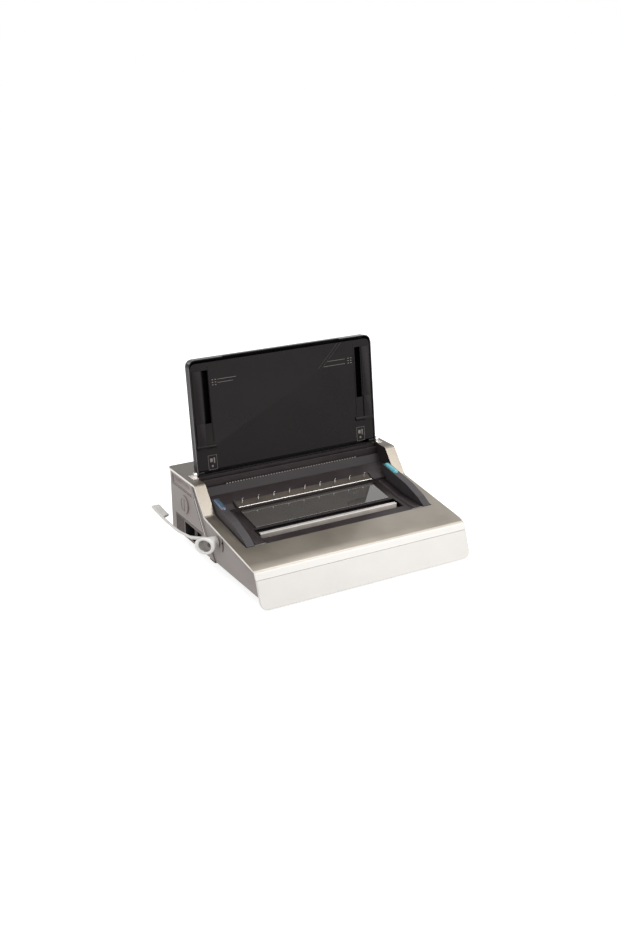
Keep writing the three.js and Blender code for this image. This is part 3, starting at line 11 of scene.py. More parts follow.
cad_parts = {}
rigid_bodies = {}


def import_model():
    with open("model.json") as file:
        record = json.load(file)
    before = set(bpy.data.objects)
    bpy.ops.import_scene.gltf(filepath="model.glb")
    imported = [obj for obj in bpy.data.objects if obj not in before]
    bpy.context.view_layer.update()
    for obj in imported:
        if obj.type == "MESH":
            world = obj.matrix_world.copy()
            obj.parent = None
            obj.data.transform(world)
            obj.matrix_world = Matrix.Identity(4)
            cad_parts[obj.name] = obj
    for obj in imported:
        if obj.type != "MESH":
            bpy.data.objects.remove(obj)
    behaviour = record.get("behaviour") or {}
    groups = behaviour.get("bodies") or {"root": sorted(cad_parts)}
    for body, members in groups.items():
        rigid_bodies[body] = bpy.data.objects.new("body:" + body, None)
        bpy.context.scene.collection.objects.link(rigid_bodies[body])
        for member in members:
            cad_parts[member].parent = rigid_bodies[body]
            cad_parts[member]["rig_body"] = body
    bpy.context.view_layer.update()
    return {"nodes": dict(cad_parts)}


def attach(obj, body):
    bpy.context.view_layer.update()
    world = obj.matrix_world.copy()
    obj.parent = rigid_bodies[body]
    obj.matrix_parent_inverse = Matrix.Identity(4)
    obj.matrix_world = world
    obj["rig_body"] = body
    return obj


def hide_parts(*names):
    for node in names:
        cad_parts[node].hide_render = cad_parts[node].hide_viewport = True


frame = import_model()
print("frame loaded:", len(frame["nodes"]), "nodes")

rowShift = np.array([23.0, 10.0, 0.0])


def toRow(points):
    # machine millimetres to row metres
    return (np.asarray(points, float) + rowShift) / 1000


def addObject(name, data, axes=None, place=None):
    # an object in the scene; axes are the directions of its X, Y and Z, and place is in row metres
    thing = bpy.data.objects.new(name, data)
    bpy.context.scene.collection.objects.link(thing)
    if axes:
        turned = Matrix(np.stack(axes, 1).tolist()).to_4x4()
        turned.translation = place
        thing.matrix_world = turned
    return thing


# Camera matched to the photograph: place in machine millimetres, angles in degrees
cameraSettings = {"place": (-1168.1, -2069.3, 1058.5), "yaw": -29.25, "pitch": 20.17, "roll": -0.61,
                  "lens": 45.94, "sensor": 36, "farthest": 50}


def makeCamera(values):
    yaw, pitch, roll = (math.radians(values[key]) for key in ("yaw", "pitch", "roll"))
    ahead = np.array([-math.sin(yaw) * math.cos(pitch), math.cos(yaw) * math.cos(pitch), -math.sin(pitch)])
    right = np.array([math.cos(yaw), math.sin(yaw), 0.0])
    up = np.cross(right, ahead)
    tiltedRight = right * math.cos(roll) + up * math.sin(roll)
    tiltedUp = up * math.cos(roll) - right * math.sin(roll)
    data = bpy.data.cameras.new("photoCamera")
    data.lens = values["lens"]
    data.sensor_width = values["sensor"]
    data.clip_end = values["farthest"]
    axes = (tiltedRight, tiltedUp, -ahead)
    bpy.context.scene.camera = addObject("photoCamera", data, axes, toRow(values["place"]))


makeCamera(cameraSettings)
bpy.context.scene.view_settings.view_transform = "Standard"

# Soft boxes: place and target in row metres, side in metres, power in watts
lampSettings = {
    "browBox": {"place": (1.25, -2.35, 1.05), "target": (0, -0.1, 0.1), "side": 1.3, "power": 16},
    "stepBox": {"place": (1.2, -1.3, 2.1), "target": (0, 0, 0.1), "side": 1.1, "power": 20},
    "topBox": {"place": (-0.7, 0.1, 2.6), "target": (0, 0, 0.1), "side": 1.6, "power": 12},
    "leftBox": {"place": (-2.6, -0.6, 1.1), "target": (0, 0, 0.15), "side": 1.4, "power": 10},
    "edgeBox": {"place": (-1.0, 2.3, 1.3), "target": (0, 0, 0.1), "side": 0.9, "power": 9},
    "crownBox": {"place": (1.2, 0.75, 2.5), "target": (0, -0.2, 0.1), "side": 0.6, "power": 4},
}


def makeLamps(values):
    for name, lamp in values.items():
        data = bpy.data.lights.new(name, "AREA")
        data.shape = "SQUARE"
        data.size = lamp["side"]
        data.energy = lamp["power"]
        away = np.array(lamp["place"], float) - np.array(lamp["target"], float)
        back = away / np.linalg.norm(away)
        side = np.cross([0, 0, 1.0], back)
        side /= np.linalg.norm(side)
        addObject(name, data, (side, np.cross(back, side), back), lamp["place"])


makeLamps(lampSettings)
print("camera and lamps placed")


def linear(hexColour):
    # an sRGB hex colour as linear values with alpha
    values = [int(hexColour[i:i + 2], 16) / 255 for i in (1, 3, 5)]
    return [v / 12.92 if v <= 0.04045 else ((v + 0.055) / 1.055) ** 2.4 for v in values] + [1.0]


def addNode(tree, kind, settings=None, links=None):
    # one node with its settings and the links into it; a setting may be a property or an input
    node = tree.nodes.new(kind)
    for key, value in (settings or {}).items():
        if isinstance(key, str) and hasattr(node, key):
            setattr(node, key, value)
        else:
            node.inputs[key].default_value = value
    for key, source in (links or {}).items():
        tree.links.new(source, node.inputs[key])
    return node


def emptyTree(owner):
    # the node tree of a material or a world, with nothing in it
    owner.use_nodes = True
    owner.node_tree.nodes.clear()
    return owner.node_tree


def startMaterial(name):
    material = bpy.data.materials.new(name)
    tree = emptyTree(material)
    output = addNode(tree, "ShaderNodeOutputMaterial")
    shader = addNode(tree, "ShaderNodeBsdfPrincipled")
    tree.links.new(shader.outputs[0], output.inputs[0])
    place = addNode(tree, "ShaderNodeTexCoord").outputs["Object"]
    return material, tree, shader, place


# How the noises mix: their detail, the ranges that give the tones and the roughness, and the usual speckle
mixing = {"grainDetail": 2.0, "cloudDetail": 3.0, "tones": (0.35, 0.95), "rough": (0.3, 0.7), "speckle": 0.3}


def finishSurface(name, values):
    # Two tones mixed by a cloudy noise, a fine grain in the bump, and a roughness that wanders a little
    tones, grainSize, cloudSize, roughness, relief, more = values
    v = mixing
    material, tree, shader, place = startMaterial(name)
    stretch = addNode(tree, "ShaderNodeMapping", {"Scale": more.get("stretch", (1, 1, 1))}, {0: place})
    grain = addNode(
        tree, "ShaderNodeTexNoise", {"Scale": 1000 / grainSize, "Detail": v["grainDetail"]},
        {"Vector": stretch.outputs[0]})
    cloud = addNode(
        tree, "ShaderNodeTexNoise", {"Scale": 1000 / cloudSize, "Detail": v["cloudDetail"]},
        {"Vector": place})
    weight = addNode(
        tree, "ShaderNodeMath", {"operation": "MULTIPLY_ADD", 1: more.get("speckle", v["speckle"])},
        {0: grain.outputs[0], 2: cloud.outputs[0]})
    shift = addNode(
        tree, "ShaderNodeMapRange", {1: v["tones"][0], 2: v["tones"][1]}, {0: weight.outputs[0]})
    tone = addNode(
        tree, "ShaderNodeMix", {"data_type": "RGBA", 6: linear(tones[0]), 7: linear(tones[1])},
        {0: shift.outputs[0]})
    tree.links.new(tone.outputs[2], shader.inputs["Base Color"])
    rough = addNode(
        tree, "ShaderNodeMapRange",
        {1: v["rough"][0], 2: v["rough"][1], 3: roughness[0], 4: roughness[1]}, {0: cloud.outputs[0]})
    tree.links.new(rough.outputs[0], shader.inputs["Roughness"])
    bump = addNode(
        tree, "ShaderNodeBump", {"Strength": 1.0, "Distance": relief / 1000}, {"Height": grain.outputs[0]})
    tree.links.new(bump.outputs[0], shader.inputs["Normal"])
    for socket, value in more.items():
        if socket not in ("stretch", "speckle"):
            shader.inputs[socket].default_value = value
    return material


# Each finish: its two tones, the sizes of its grain and clouds in millimetres, its roughness from and to,
# its relief in millimetres, and what else sets it apart: stretch runs the grain along an axis, speckle is
# how much of the grain shows in the colour, and the others are the shader's own sockets
finishes = {
    # silver-taupe metallic lacquer on sheet steel, sprayed: fine flake, soft mirror
    "silverLacquer": (("#837b70", "#978f83"), 0.7, 70, (0.3, 0.36), 0.01,
        {"speckle": 0.5, "Metallic": 0.75, "Coat Weight": 0.3, "Coat Roughness": 0.1}),
    # the same lacquer, paler, on the front board, and on the cover's brow face as a painted highlight
    "pearlLacquerAndBrowHighlight": (("#d8d5d0", "#e3e0dc"), 0.7, 90, (0.36, 0.44), 0.01,
        {"speckle": 0.4, "Metallic": 0.08, "Coat Weight": 0.2, "Coat Roughness": 0.15}),
    # grey powder coat: even, very fine orange peel
    "greyPowderCoat": (("#8f8784", "#9d9592"), 1.1, 60, (0.5, 0.6), 0.03, {}),
    # brown-black ABS moulding, spark-eroded texture
    "darkAbs": (("#2a2324", "#352e2f"), 0.6, 40, (0.34, 0.46), 0.03, {"Specular IOR Level": 0.3}),
    # slate ABS of the side ramps, a shade bluer
    "slateAbs": (("#3a3638", "#474346"), 0.6, 40, (0.38, 0.5), 0.03, {"Specular IOR Level": 0.4}),
    # polished brown-black ABS of the lid
    "lidAbs": (("#181415", "#1f1a1b"), 0.5, 80, (0.24, 0.34), 0.008, {"Specular IOR Level": 0.12}),
    # the lid's outer shell: blacker and a little glossier
    "lidGloss": (("#110e0f", "#171415"), 0.5, 80, (0.16, 0.24), 0.006, {"Specular IOR Level": 0.12}),
    # the lid's moulding, satin and painted lighter on the crests of its creases: a painted highlight
    "creasePaintedHighlight": (("#2f292a", "#383132"), 0.5, 60, (0.3, 0.4), 0.006, {"Specular IOR Level": 0.25}),
    # polished bead round the lid, painted lighter than the lid: a painted highlight, a narrow line of light
    "lidBeadPaintedHighlight": (("#4a4546", "#575152"), 0.5, 60, (0.1, 0.16), 0.004,
        {"Specular IOR Level": 0.5, "Coat Weight": 0.6, "Coat Roughness": 0.06}),
    # brown-black ABS of the throat bar, matt
    "throatAbs": (("#2b2526", "#353031"), 0.6, 40, (0.42, 0.52), 0.03, {"Specular IOR Level": 0.2}),
    # taupe ABS of the chip drawer's face
    "taupeAbs": (("#665b58", "#746965"), 0.7, 40, (0.45, 0.6), 0.04, {"Specular IOR Level": 0.3}),
    # grey ABS inside the handle cups, painted light grey: painted light standing in for the light that
    # reaches into them
    "handleCupPaintedLight": (("#c4bdb9", "#d2ccc8"), 0.7, 40, (0.45, 0.55), 0.03, {}),
    # the cover's lacquer painted pale on its side edge, and on the side seams' beads: a painted highlight
    "paintedEdgeHighlight": (("#d9d2ca", "#e6e0d9"), 0.7, 50, (0.25, 0.33), 0.006,
        {"Metallic": 0.15, "Coat Weight": 0.3}),
    # black ABS, matt
    "blackAbs": (("#161415", "#211e1f"), 0.7, 40, (0.45, 0.6), 0.04, {"Specular IOR Level": 0.3}),
    # off-white ABS of the lever, smooth
    "whiteAbs": (("#cfccc8", "#dbd8d4"), 0.5, 50, (0.28, 0.36), 0.006, {"Subsurface Weight": 0.05}),
    # the lever's moulding painted near white on the hub's ring: a painted highlight
    "hubRingPaintedHighlight": (("#f1efec", "#f7f5f3"), 0.5, 50, (0.2, 0.28), 0.004, {"Coat Weight": 0.3}),
    # the lever's white moulding painted grey inside the hub's cup: painted shade
    "hubCupPaintedShade": (("#8f8b88", "#9d9996"), 0.6, 30, (0.35, 0.45), 0.02, {}),
    # zinc-plated steel sheet
    "zincSteel": (("#8d9096", "#a9adb2"), 2.0, 18, (0.3, 0.45), 0.004, {"speckle": 0.6, "Metallic": 1.0}),
    # ground steel, with grinding lines along X
    "groundSteel": (("#8f9194", "#b4b6b9"), 0.5, 25, (0.22, 0.36), 0.004,
        {"stretch": (0.03, 1, 1), "speckle": 0.7, "Metallic": 1.0}),
    # chemically blackened steel
    "blackenedSteel": (("#1d1b1b", "#292626"), 0.8, 20, (0.4, 0.55), 0.006, {"Metallic": 0.6}),
    # the casing's lacquer painted paler on the brow's curve, fading into the pale board: a painted highlight
    "browPaintedHighlight": (("#c3bbb1", "#cfc8bf"), 0.7, 70, (0.3, 0.36), 0.01,
        {"speckle": 0.4, "Metallic": 0.35, "Coat Weight": 0.3, "Coat Roughness": 0.1}),
    # the casing's lacquer painted browner and darker on the flat behind the lid, where it looks brown and
    # deeper from the front: painted shade
    "deckPaintedShade": (("#544d44", "#60594f"), 0.7, 70, (0.36, 0.44), 0.01,
        {"speckle": 0.4, "Metallic": 0.35, "Coat Weight": 0.15, "Coat Roughness": 0.2}),
    # clear anodised aluminium extrusion, die lines along X
    "anodisedAluminium": (("#b8b0ac", "#d5cfcb"), 0.5, 30, (0.24, 0.34), 0.004,
        {"stretch": (0.02, 1, 1), "speckle": 0.6, "Metallic": 0.9}),
    # the closing bar's nickel plate painted nearly white on its top edge, where it shines: a painted
    # highlight
    "barTopPaintedHighlight": (("#ece7e2", "#f6f2ee"), 0.5, 25, (0.2, 0.26), 0.002, {"Metallic": 0.4}),
    # blasted nickel plate of the closing bar: pale, even, with a soft sheen
    "satinNickel": (("#b3a9a2", "#cbc2bb"), 0.5, 25, (0.34, 0.44), 0.003,
        {"stretch": (0.05, 1, 1), "speckle": 0.4, "Metallic": 0.2}),
    # bronze-coloured lacquer on the hook strip
    "bronzeLacquer": (("#3b332d", "#4c433b"), 0.6, 30, (0.28, 0.38), 0.006,
        {"speckle": 0.5, "Metallic": 0.6}),
    # polished smoked acrylic
    "smokedAcrylic": (("#4a4744", "#56524f"), 3.0, 90, (0.01, 0.03), 0.0002,
        {"speckle": 0.1, "Coat Weight": 1.0, "Coat Roughness": 0.01}),
    # translucent blue-green moulding of the buttons
    "tealClear": (("#4fa3b3", "#74c3cc"), 0.6, 12, (0.12, 0.2), 0.004,
        {"speckle": 0.2, "Subsurface Weight": 0.25, "Coat Weight": 0.6, "Coat Roughness": 0.05}),
    # black moulded rubber
    "blackRubber": (("#161616", "#232222"), 0.8, 12, (0.75, 0.9), 0.05, {}),
    # green solder mask
    "solderMask": (("#1f5636", "#2f6f49"), 1.2, 10, (0.3, 0.45), 0.02, {}),
    # turned brass: its turning lines show as a fine grain
    "turnedBrass": (("#a58d52", "#c6ae72"), 0.5, 10, (0.25, 0.38), 0.004,
        {"speckle": 0.5, "Metallic": 1.0}),
    # the buttons' clear moulding painted a darker, greyer blue for the left one: painted shade
    "tealClearPaintedShade": (("#3f5268", "#5b7187"), 0.6, 12, (0.12, 0.2), 0.004,
        {"speckle": 0.2, "Subsurface Weight": 0.2, "Coat Weight": 0.6, "Coat Roughness": 0.05}),
    # bright drawn steel wire
    "brightWire": (("#d4d1cc", "#efece8"), 0.4, 6, (0.12, 0.2), 0.002,
        {"stretch": (1, 1, 0.05), "Metallic": 0.85}),
    # grey print of the marks inside the lid, dimmer than the tick marks
    "dimPrint": (("#6e6967", "#807b78"), 0.5, 8, (0.5, 0.6), 0.004, {}),
    # light grey print of the tick marks
    "greyPrint": (("#8f8a88", "#a5a09d"), 0.5, 8, (0.5, 0.6), 0.004, {}),
}
finish = {name: finishSurface(name, values) for name, values in finishes.items()}
print("finishes made:", len(finish))


def fullTurn(steps):
    return np.linspace(0, 2 * math.pi, steps, endpoint=False)


def insetOutline(outline, depth):
    # moves each corner of a closed outline inwards along the average of its two edge normals
    before = outline - np.roll(outline, 1, 0)
    after = np.roll(outline, -1, 0) - outline
    before = before / np.linalg.norm(before, axis=1, keepdims=True)
    after = after / np.linalg.norm(after, axis=1, keepdims=True)
    normals = [np.stack([-edge[:, 1], edge[:, 0]], 1) for edge in (before, after)]
    share = 1 + (normals[0] * normals[1]).sum(1, keepdims=True)
    x, y = outline.T
    area = np.sum(x * np.roll(y, -1) - np.roll(x, -1) * y)
    return outline + (normals[0] + normals[1]) / share * depth * np.sign(area)


def roundedOutline(halfA, halfB, radius, steps):
    # a rectangle with round corners: four quarter circles, one after the other
    quarter = np.linspace(0, math.pi / 2, steps + 1)
    corners = [(1, 1, 0), (-1, 1, 1), (-1, -1, 2), (1, -1, 3)]
    arcs = [
        np.stack([
            signA * (halfA - radius) + radius * np.cos(quarter + turn * math.pi / 2),
            signB * (halfB - radius) + radius * np.sin(quarter + turn * math.pi / 2)], 1)
        for signA, signB, turn in corners]
    return np.concatenate(arcs)


def loft(rings, closed=False):
    # rings (count, size, 3): quads join each ring to the next, and a flat face closes each end.
    # closed joins the last ring to the first instead, like a tyre
    count, size, _ = rings.shape
    spans = count if closed else count - 1
    i, j = np.meshgrid(np.arange(spans), np.arange(size), indexing="ij")
    k, n = (j + 1) % size, (i + 1) % count
    faces = np.stack([i * size + j, i * size + k, n * size + k, n * size + j], -1).reshape(-1, 4).tolist()
    if not closed:
        faces += [list(range(size))[::-1], [(count - 1) * size + m for m in range(size)]]
    return rings.reshape(-1, 3), faces


def slab(outline, low, high, axis, edge):
    # an outline carried along one axis, its two rims rounded by an arc of three steps
    turn = np.linspace(0, math.pi / 2, 4)
    levels = np.concatenate([low + edge * (1 - np.cos(turn)), high - edge * (1 - np.cos(turn[::-1]))])
    depths = np.concatenate([edge * (1 - np.sin(turn)), edge * (1 - np.sin(turn[::-1]))])
    rings = []
    for level, depth in zip(levels, depths):
        ring = insetOutline(outline, depth)
        rings.append(np.insert(ring, axis, level, axis=1))
    return loft(np.array(rings))


def box(x, y, z, edge, corner=None):
    # a block with rounded rims, drawn as an outline in X and Y carried along Z
    halfX, halfY = (x[1] - x[0]) / 2, (y[1] - y[0]) / 2
    corner = corner or min(edge, halfX * 0.9, halfY * 0.9)
    outline = roundedOutline(halfX, halfY, corner, 3)
    outline = outline + [(x[0] + x[1]) / 2, (y[0] + y[1]) / 2]
    return slab(outline, z[0], z[1], 2, min(edge, (z[1] - z[0]) * 0.4))


def turned(profile, centre, steps, slope=0.0, closed=False):
    # rings round an axis along X: profile rows are radius, X and the share of the slant that the ring takes
    angle = fullTurn(steps)[None, :]
    radius, along, share = (np.array(profile, float)[:, n][:, None] for n in range(3))
    y = radius * np.cos(angle)
    z = radius * np.sin(angle)
    x = along - share * y * slope
    return loft(np.stack([x + 0 * angle, y + centre[0], z + centre[1]], -1), closed)


def throughPoints(knots, steps):
    # a smooth line through the knots: each span is a cubic set by its two ends and their neighbours
    knots = np.asarray(knots, float)
    padded = np.concatenate([[2 * knots[0] - knots[1]], knots, [2 * knots[-1] - knots[-2]]])
    t = np.linspace(0, 1, steps, endpoint=False)[:, None]
    spans = []
    for a, b, c, d in zip(padded, padded[1:], padded[2:], padded[3:]):
        spans.append(0.5 * (2 * b + (c - a) * t + (2 * a - 5 * b + 4 * c - d) * t ** 2
                            + (3 * b - a - 3 * c + d) * t ** 3))
    return np.concatenate(spans + [knots[-1:]])


def rodAlongX(path, radius):
    # a round bar along a straight path that runs in X
    angle = fullTurn(8)
    ring = radius * np.stack([0 * angle, np.cos(angle), np.sin(angle)], 1)
    return loft(np.asarray(path, float)[:, None] + ring[None])


def rod(path, radius, sides=10):
    # a round wire along a path in the plane of Y and Z, at one X
    path = np.asarray(path, float)
    along = np.gradient(path, axis=0)
    along /= np.linalg.norm(along, axis=1, keepdims=True)
    across = np.array([1.0, 0, 0])
    normal = np.cross(along, across)
    angle = fullTurn(sides)
    radius = np.broadcast_to(radius, len(path))[:, None, None]
    rings = path[:, None] + radius * (
        np.cos(angle)[None, :, None] * across + np.sin(angle)[None, :, None] * normal[:, None])
    return loft(rings)


def meshOf(name, shapes):
    # joins shapes, each an array of machine points and its faces, into one mesh in row metres
    if isinstance(shapes, tuple):
        shapes = [shapes]
    points, faces, start = [], [], 0
    for shapePoints, shapeFaces in shapes:
        points.append(shapePoints)
        faces += [[corner + start for corner in face] for face in shapeFaces]
        start += len(shapePoints)
    mesh = bpy.data.meshes.new(name)
    mesh.from_pydata(toRow(np.concatenate(points)).tolist(), [], faces)
    work = bmesh.new()
    work.from_mesh(mesh)
    bmesh.ops.recalc_face_normals(work, faces=work.faces)
    work.to_mesh(mesh)
    work.free()
    return mesh


def addPiece(name, shapes, material, body, replaced=(), degrees=32):
    # a finished piece of shapes, or of a mesh, whose edges over the given degrees stay sharp
    mesh = shapes if isinstance(shapes, bpy.types.Mesh) else meshOf(name, shapes)
    mesh.shade_smooth()
    mesh.set_sharp_from_angle(angle=math.radians(degrees))
    mesh.materials.clear()
    mesh.materials.append(finish[material])
    piece = addObject(name, mesh)
    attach(piece, body)
    if replaced:
        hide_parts(*replaced)
    return piece


def machinePoints(mesh):
    points = np.empty(len(mesh.vertices) * 3)
    mesh.vertices.foreach_get("co", points)
    return points.reshape(-1, 3) * 1000 - rowShift


def paintFaces(mesh, rules):
    # Each rule is a finish and the ranges that its faces lie in: their centre's x, y, z and distance aside
    # in machine millimetres, and how squarely they face a way, where 1 is fully
    middles = np.empty(len(mesh.polygons) * 3)
    normals = np.empty(len(mesh.polygons) * 3)
    mesh.polygons.foreach_get("center", middles)
    mesh.polygons.foreach_get("normal", normals)
    x, y, z = (middles.reshape(-1, 3) * 1000 - rowShift).T
    right, rear, up = normals.reshape(-1, 3).T
    seen = {"x": x, "y": y, "z": z, "aside": np.abs(x), "right": right, "rear": rear, "up": up,
            "leftOrRight": np.abs(right), "upOrDown": np.abs(up)}
    chosen = np.zeros(len(mesh.polygons), dtype=np.int32)
    for place, (material, limits) in enumerate(rules):
        mesh.materials.append(finish[material])
        inside = [(seen[key] > low) & (seen[key] < high) for key, (low, high) in limits.items()]
        chosen[np.all(inside, axis=0)] = place + 1
    mesh.polygons.foreach_set("material_index", chosen)


# How a CAD node is softened: points within gap metres merge, edges under sliver metres go, facets under
# flat degrees join, and edges over the last angle are rounded in steps
softening = {"gap": 5e-6, "sliver": 2e-6, "flat": 0.6, "steps": 2, "degrees": 28}


def softEdges(node, width, material, cutLow=None, loops=(), levels=(), bend=None, paint=(), merge=True):
    # A copy of a CAD node whose sharp edges are rounded; it stands for the node. cutLow trims it below a
    # height, loops and levels add edge lines at these Y and Z, bend moves its points, paint gives some
    # faces another finish, and merge joins the facets of flat faces
    v = softening
    mesh = frame["nodes"][node].data.copy()
    mesh.name = node + "_soft"
    work = bmesh.new()
    work.from_mesh(mesh)
    bmesh.ops.remove_doubles(work, verts=work.verts, dist=v["gap"])
    bmesh.ops.dissolve_degenerate(work, edges=work.edges, dist=v["sliver"])
    if merge:
        bmesh.ops.dissolve_limit(
            work, angle_limit=math.radians(v["flat"]), verts=work.verts, edges=work.edges)
    planes = [((0, y, 0), (0, 1, 0)) for y in loops] + [((0, 0, z), (0, 0, 1)) for z in levels]
    for place, normal in planes:
        everything = work.verts[:] + work.edges[:] + work.faces[:]
        bmesh.ops.bisect_plane(work, geom=everything, plane_co=toRow(place), plane_no=normal)
    if cutLow is not None:
        everything = work.verts[:] + work.edges[:] + work.faces[:]
        cut = bmesh.ops.bisect_plane(
            work, geom=everything, plane_co=toRow((0, 0, cutLow)), plane_no=(0, 0, -1), clear_outer=True)
        rim = [part for part in cut["geom_cut"] if isinstance(part, bmesh.types.BMEdge)]
        bmesh.ops.triangle_fill(work, edges=rim, use_beauty=True)
        bmesh.ops.recalc_face_normals(work, faces=work.faces)
    work.to_mesh(mesh)
    work.free()
    if bend:
        mesh.vertices.foreach_set("co", toRow(bend(machinePoints(mesh))).ravel())
    body = frame["nodes"][node]["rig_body"]
    piece = addPiece(node + "_soft", mesh, material, body, replaced=(node,))
    if paint:
        mesh.update()
        paintFaces(mesh, paint)
    bevel = piece.modifiers.new("softEdge", "BEVEL")
    bevel.width = width / 1000
    bevel.segments = v["steps"]
    bevel.limit_method = "ANGLE"
    bevel.angle_limit = math.radians(v["degrees"])
    bevel.harden_normals = True


# The cover's front is crowned, the base pan's sides and the rear panel's lower corners lean in below the
# casing's sides, and the skirts end at a straight foot
shaping = {"crownStart": -175.0, "crownRun": 24.5, "crownDrop": 2.6, "flatFront": (-199.3, 78.2),
           "flatRise": 0.1427, "wall": 3.2, "frontGap": 0.3, "squeezeGap": 4, "seamHeight": 61.0,
           "panSide": 240, "panTop": 40.0, "panFoot": 13.0, "panInset": 17.7, "sideFoot": 26.6,
           "cornerTop": 26}


def crownBrow(points):
    # the flat sinks by a parabola towards the brow, and the brow's face is squeezed down to its foot
    v = shaping
    share = np.clip((v["crownStart"] - points[:, 1]) / v["crownRun"], 0, 1)
    flat = v["flatFront"][1] + (points[:, 1] - v["flatFront"][0]) * v["flatRise"]
    front = points[:, 1] < v["flatFront"][0] - v["frontGap"]
    skin = (points[:, 2] > flat - v["wall"]) | front
    tall = v["flatFront"][1] - v["seamHeight"] - v["squeezeGap"]
    squeeze = np.clip((points[:, 2] - v["seamHeight"]) / tall, 0, 1)
    points[:, 2] -= np.where(skin, v["crownDrop"] * share ** 2 * np.where(front, squeeze, 1), 0)
    return points


def leanPan(points):
    # the outer walls move in, by nothing at their top and most at their foot
    v = shaping
    share = np.clip((v["panTop"] - points[:, 2]) / (v["panTop"] - v["panFoot"]), 0, 1)
    outer = np.abs(points[:, 0]) > v["panSide"]
    points[:, 0] -= np.where(outer, np.sign(points[:, 0]) * v["panInset"] * share, 0)
    return points


# Where a second finish covers part of a piece: the recess's walls, a painted highlight on the cover's side
# edge, on the brow and on the front of the board, painted shade on the flat behind the lid, then a painted
# highlight on the closing bar's top, and the chip drawer's face
inf = math.inf
coverPaint = (
    ("darkAbs", {"aside": (-inf, 224.4), "y": (-118.5, 112.3), "upOrDown": (-inf, 0.5)}),
    # painted highlight: the cover's side edge is painted pale
    ("paintedEdgeHighlight", {"aside": (248.8, inf), "leftOrRight": (0.9, inf)}),
    # painted highlight: the brow's curve and its front face are painted paler towards the board
    ("browPaintedHighlight", {"y": (-inf, -196.9), "rear": (-inf, -0.3), "leftOrRight": (-inf, 0.5)}),
    ("pearlLacquerAndBrowHighlight", {"y": (-inf, -200), "rear": (-inf, -0.72), "leftOrRight": (-inf, 0.5)}),
    # painted shade: the flat behind the lid is painted darker
    ("deckPaintedShade", {"y": (105, inf), "z": (160, inf), "up": (0.9, inf)}),
)
# painted highlight: the bar's up-facing top is painted nearly white
barPaint = (("barTopPaintedHighlight", {"up": (0.85, inf)}),)
chipPaint = (("taupeAbs", {"x": (-inf, -248.5), "right": (-inf, -0.9)}),)


def cutCorners(points):
    # the rear panel's lower corners follow the base pan's lean
    low = (np.abs(points[:, 0]) > shaping["panSide"]) & (points[:, 2] < shaping["cornerTop"])
    points[:, 0] -= np.where(low, np.sign(points[:, 0]) * shaping["panInset"], 0)
    return points


def bothSides(names, values):
    # the same values for the left and the right one of each pair
    return {f"{name}_{side}": values for name in names for side in ("left", "right")}


shaped = {
    "top_cover": {"loops": (-197, -194, -191, -188, -185, -182, -179, -175), "bend": crownBrow,
                  "paint": coverPaint},
    **bothSides(["side_skirt"], {"cutLow": shaping["sideFoot"], "merge": False}),
    "work_deck": {"merge": False},
    "closer_bar": {"paint": barPaint},
    "base_pan": {"bend": leanPan},
    "rear_panel": {"levels": (shaping["sideFoot"],), "bend": cutCorners},
    "chip_drawer": {"paint": chipPaint},
    **bothSides(["handle_cup"], {"merge": False}),
}

# Casing, lid and drawer pieces: edge radius in millimetres and finish
casing = {
    "top_cover": (1.4, "silverLacquer"),
    "drawer_front": (1.6, "pearlLacquerAndBrowHighlight"),
    **bothSides(["side_panel", "side_skirt"], (0.4, "greyPowderCoat")),
    # the handle cups are painted light grey inside: painted light
    **bothSides(["handle_cup"], (0.5, "handleCupPaintedLight")),
    "rear_panel": (0.3, "blackAbs"),
    "base_pan": (0.4, "blackAbs"),
    "work_deck": (0.5, "darkAbs"),
    "throat_bar": (0.6, "throatAbs"),
    "throat_back": (0.5, "darkAbs"),
    **bothSides(["ramp"], (1.0, "slateAbs")),
    "lid_shell": (1.2, "lidGloss"),
    "lid_liner": (0.4, "lidAbs"),
    "chip_drawer": (0.6, "blackAbs"),
    "drawer_tray": (0.5, "blackAbs"),
    "smoked_cover": (0.4, "smokedAcrylic"),
    "closer_bar": (0.3, "satinNickel"),
    "mains_inlet": (0.3, "blackAbs"),
    "switch_body": (0.3, "blackAbs"),
    "power_rocker": (0.6, "blackAbs"),
    "edge_guide": (0.4, "groundSteel"),
    **bothSides(["lid_bracket"], (0.4, "anodisedAluminium")),
    **bothSides(["foot_front", "foot_rear"], (0.5, "blackRubber")),
}
for node, (width, material) in casing.items():
    softEdges(node, width, material, **shaped.get(node, {}))
print("casing pieces softened:", len(casing))

# Inner pieces keep their CAD meshes and get a finish
inner = {
    **bothSides(["chassis", "drawer_runner"], "zincSteel"),
    "motor_bracket": "zincSteel", "motor": "zincSteel", "motor_pinion": "turnedBrass",
    "die_plate": "groundSteel", "guide_plate": "groundSteel", "paper_stop": "groundSteel",
    "punch_bar": "groundSteel", "crank_shaft": "groundSteel", "drive_gear": "groundSteel",
    "guide_spindle": "groundSteel", "jaw_carriage": "blackenedSteel", "closer_shaft": "blackenedSteel",
    **bothSides(["shaft_bush"], "turnedBrass"), **bothSides(["lid_hinge_pin"], "groundSteel"),
    "circuit_board": "solderMask",
}
for node, material in inner.items():
    frame["nodes"][node].data.materials.clear()
    frame["nodes"][node].data.materials.append(finish[material])
print("inner pieces finished:", len(inner))

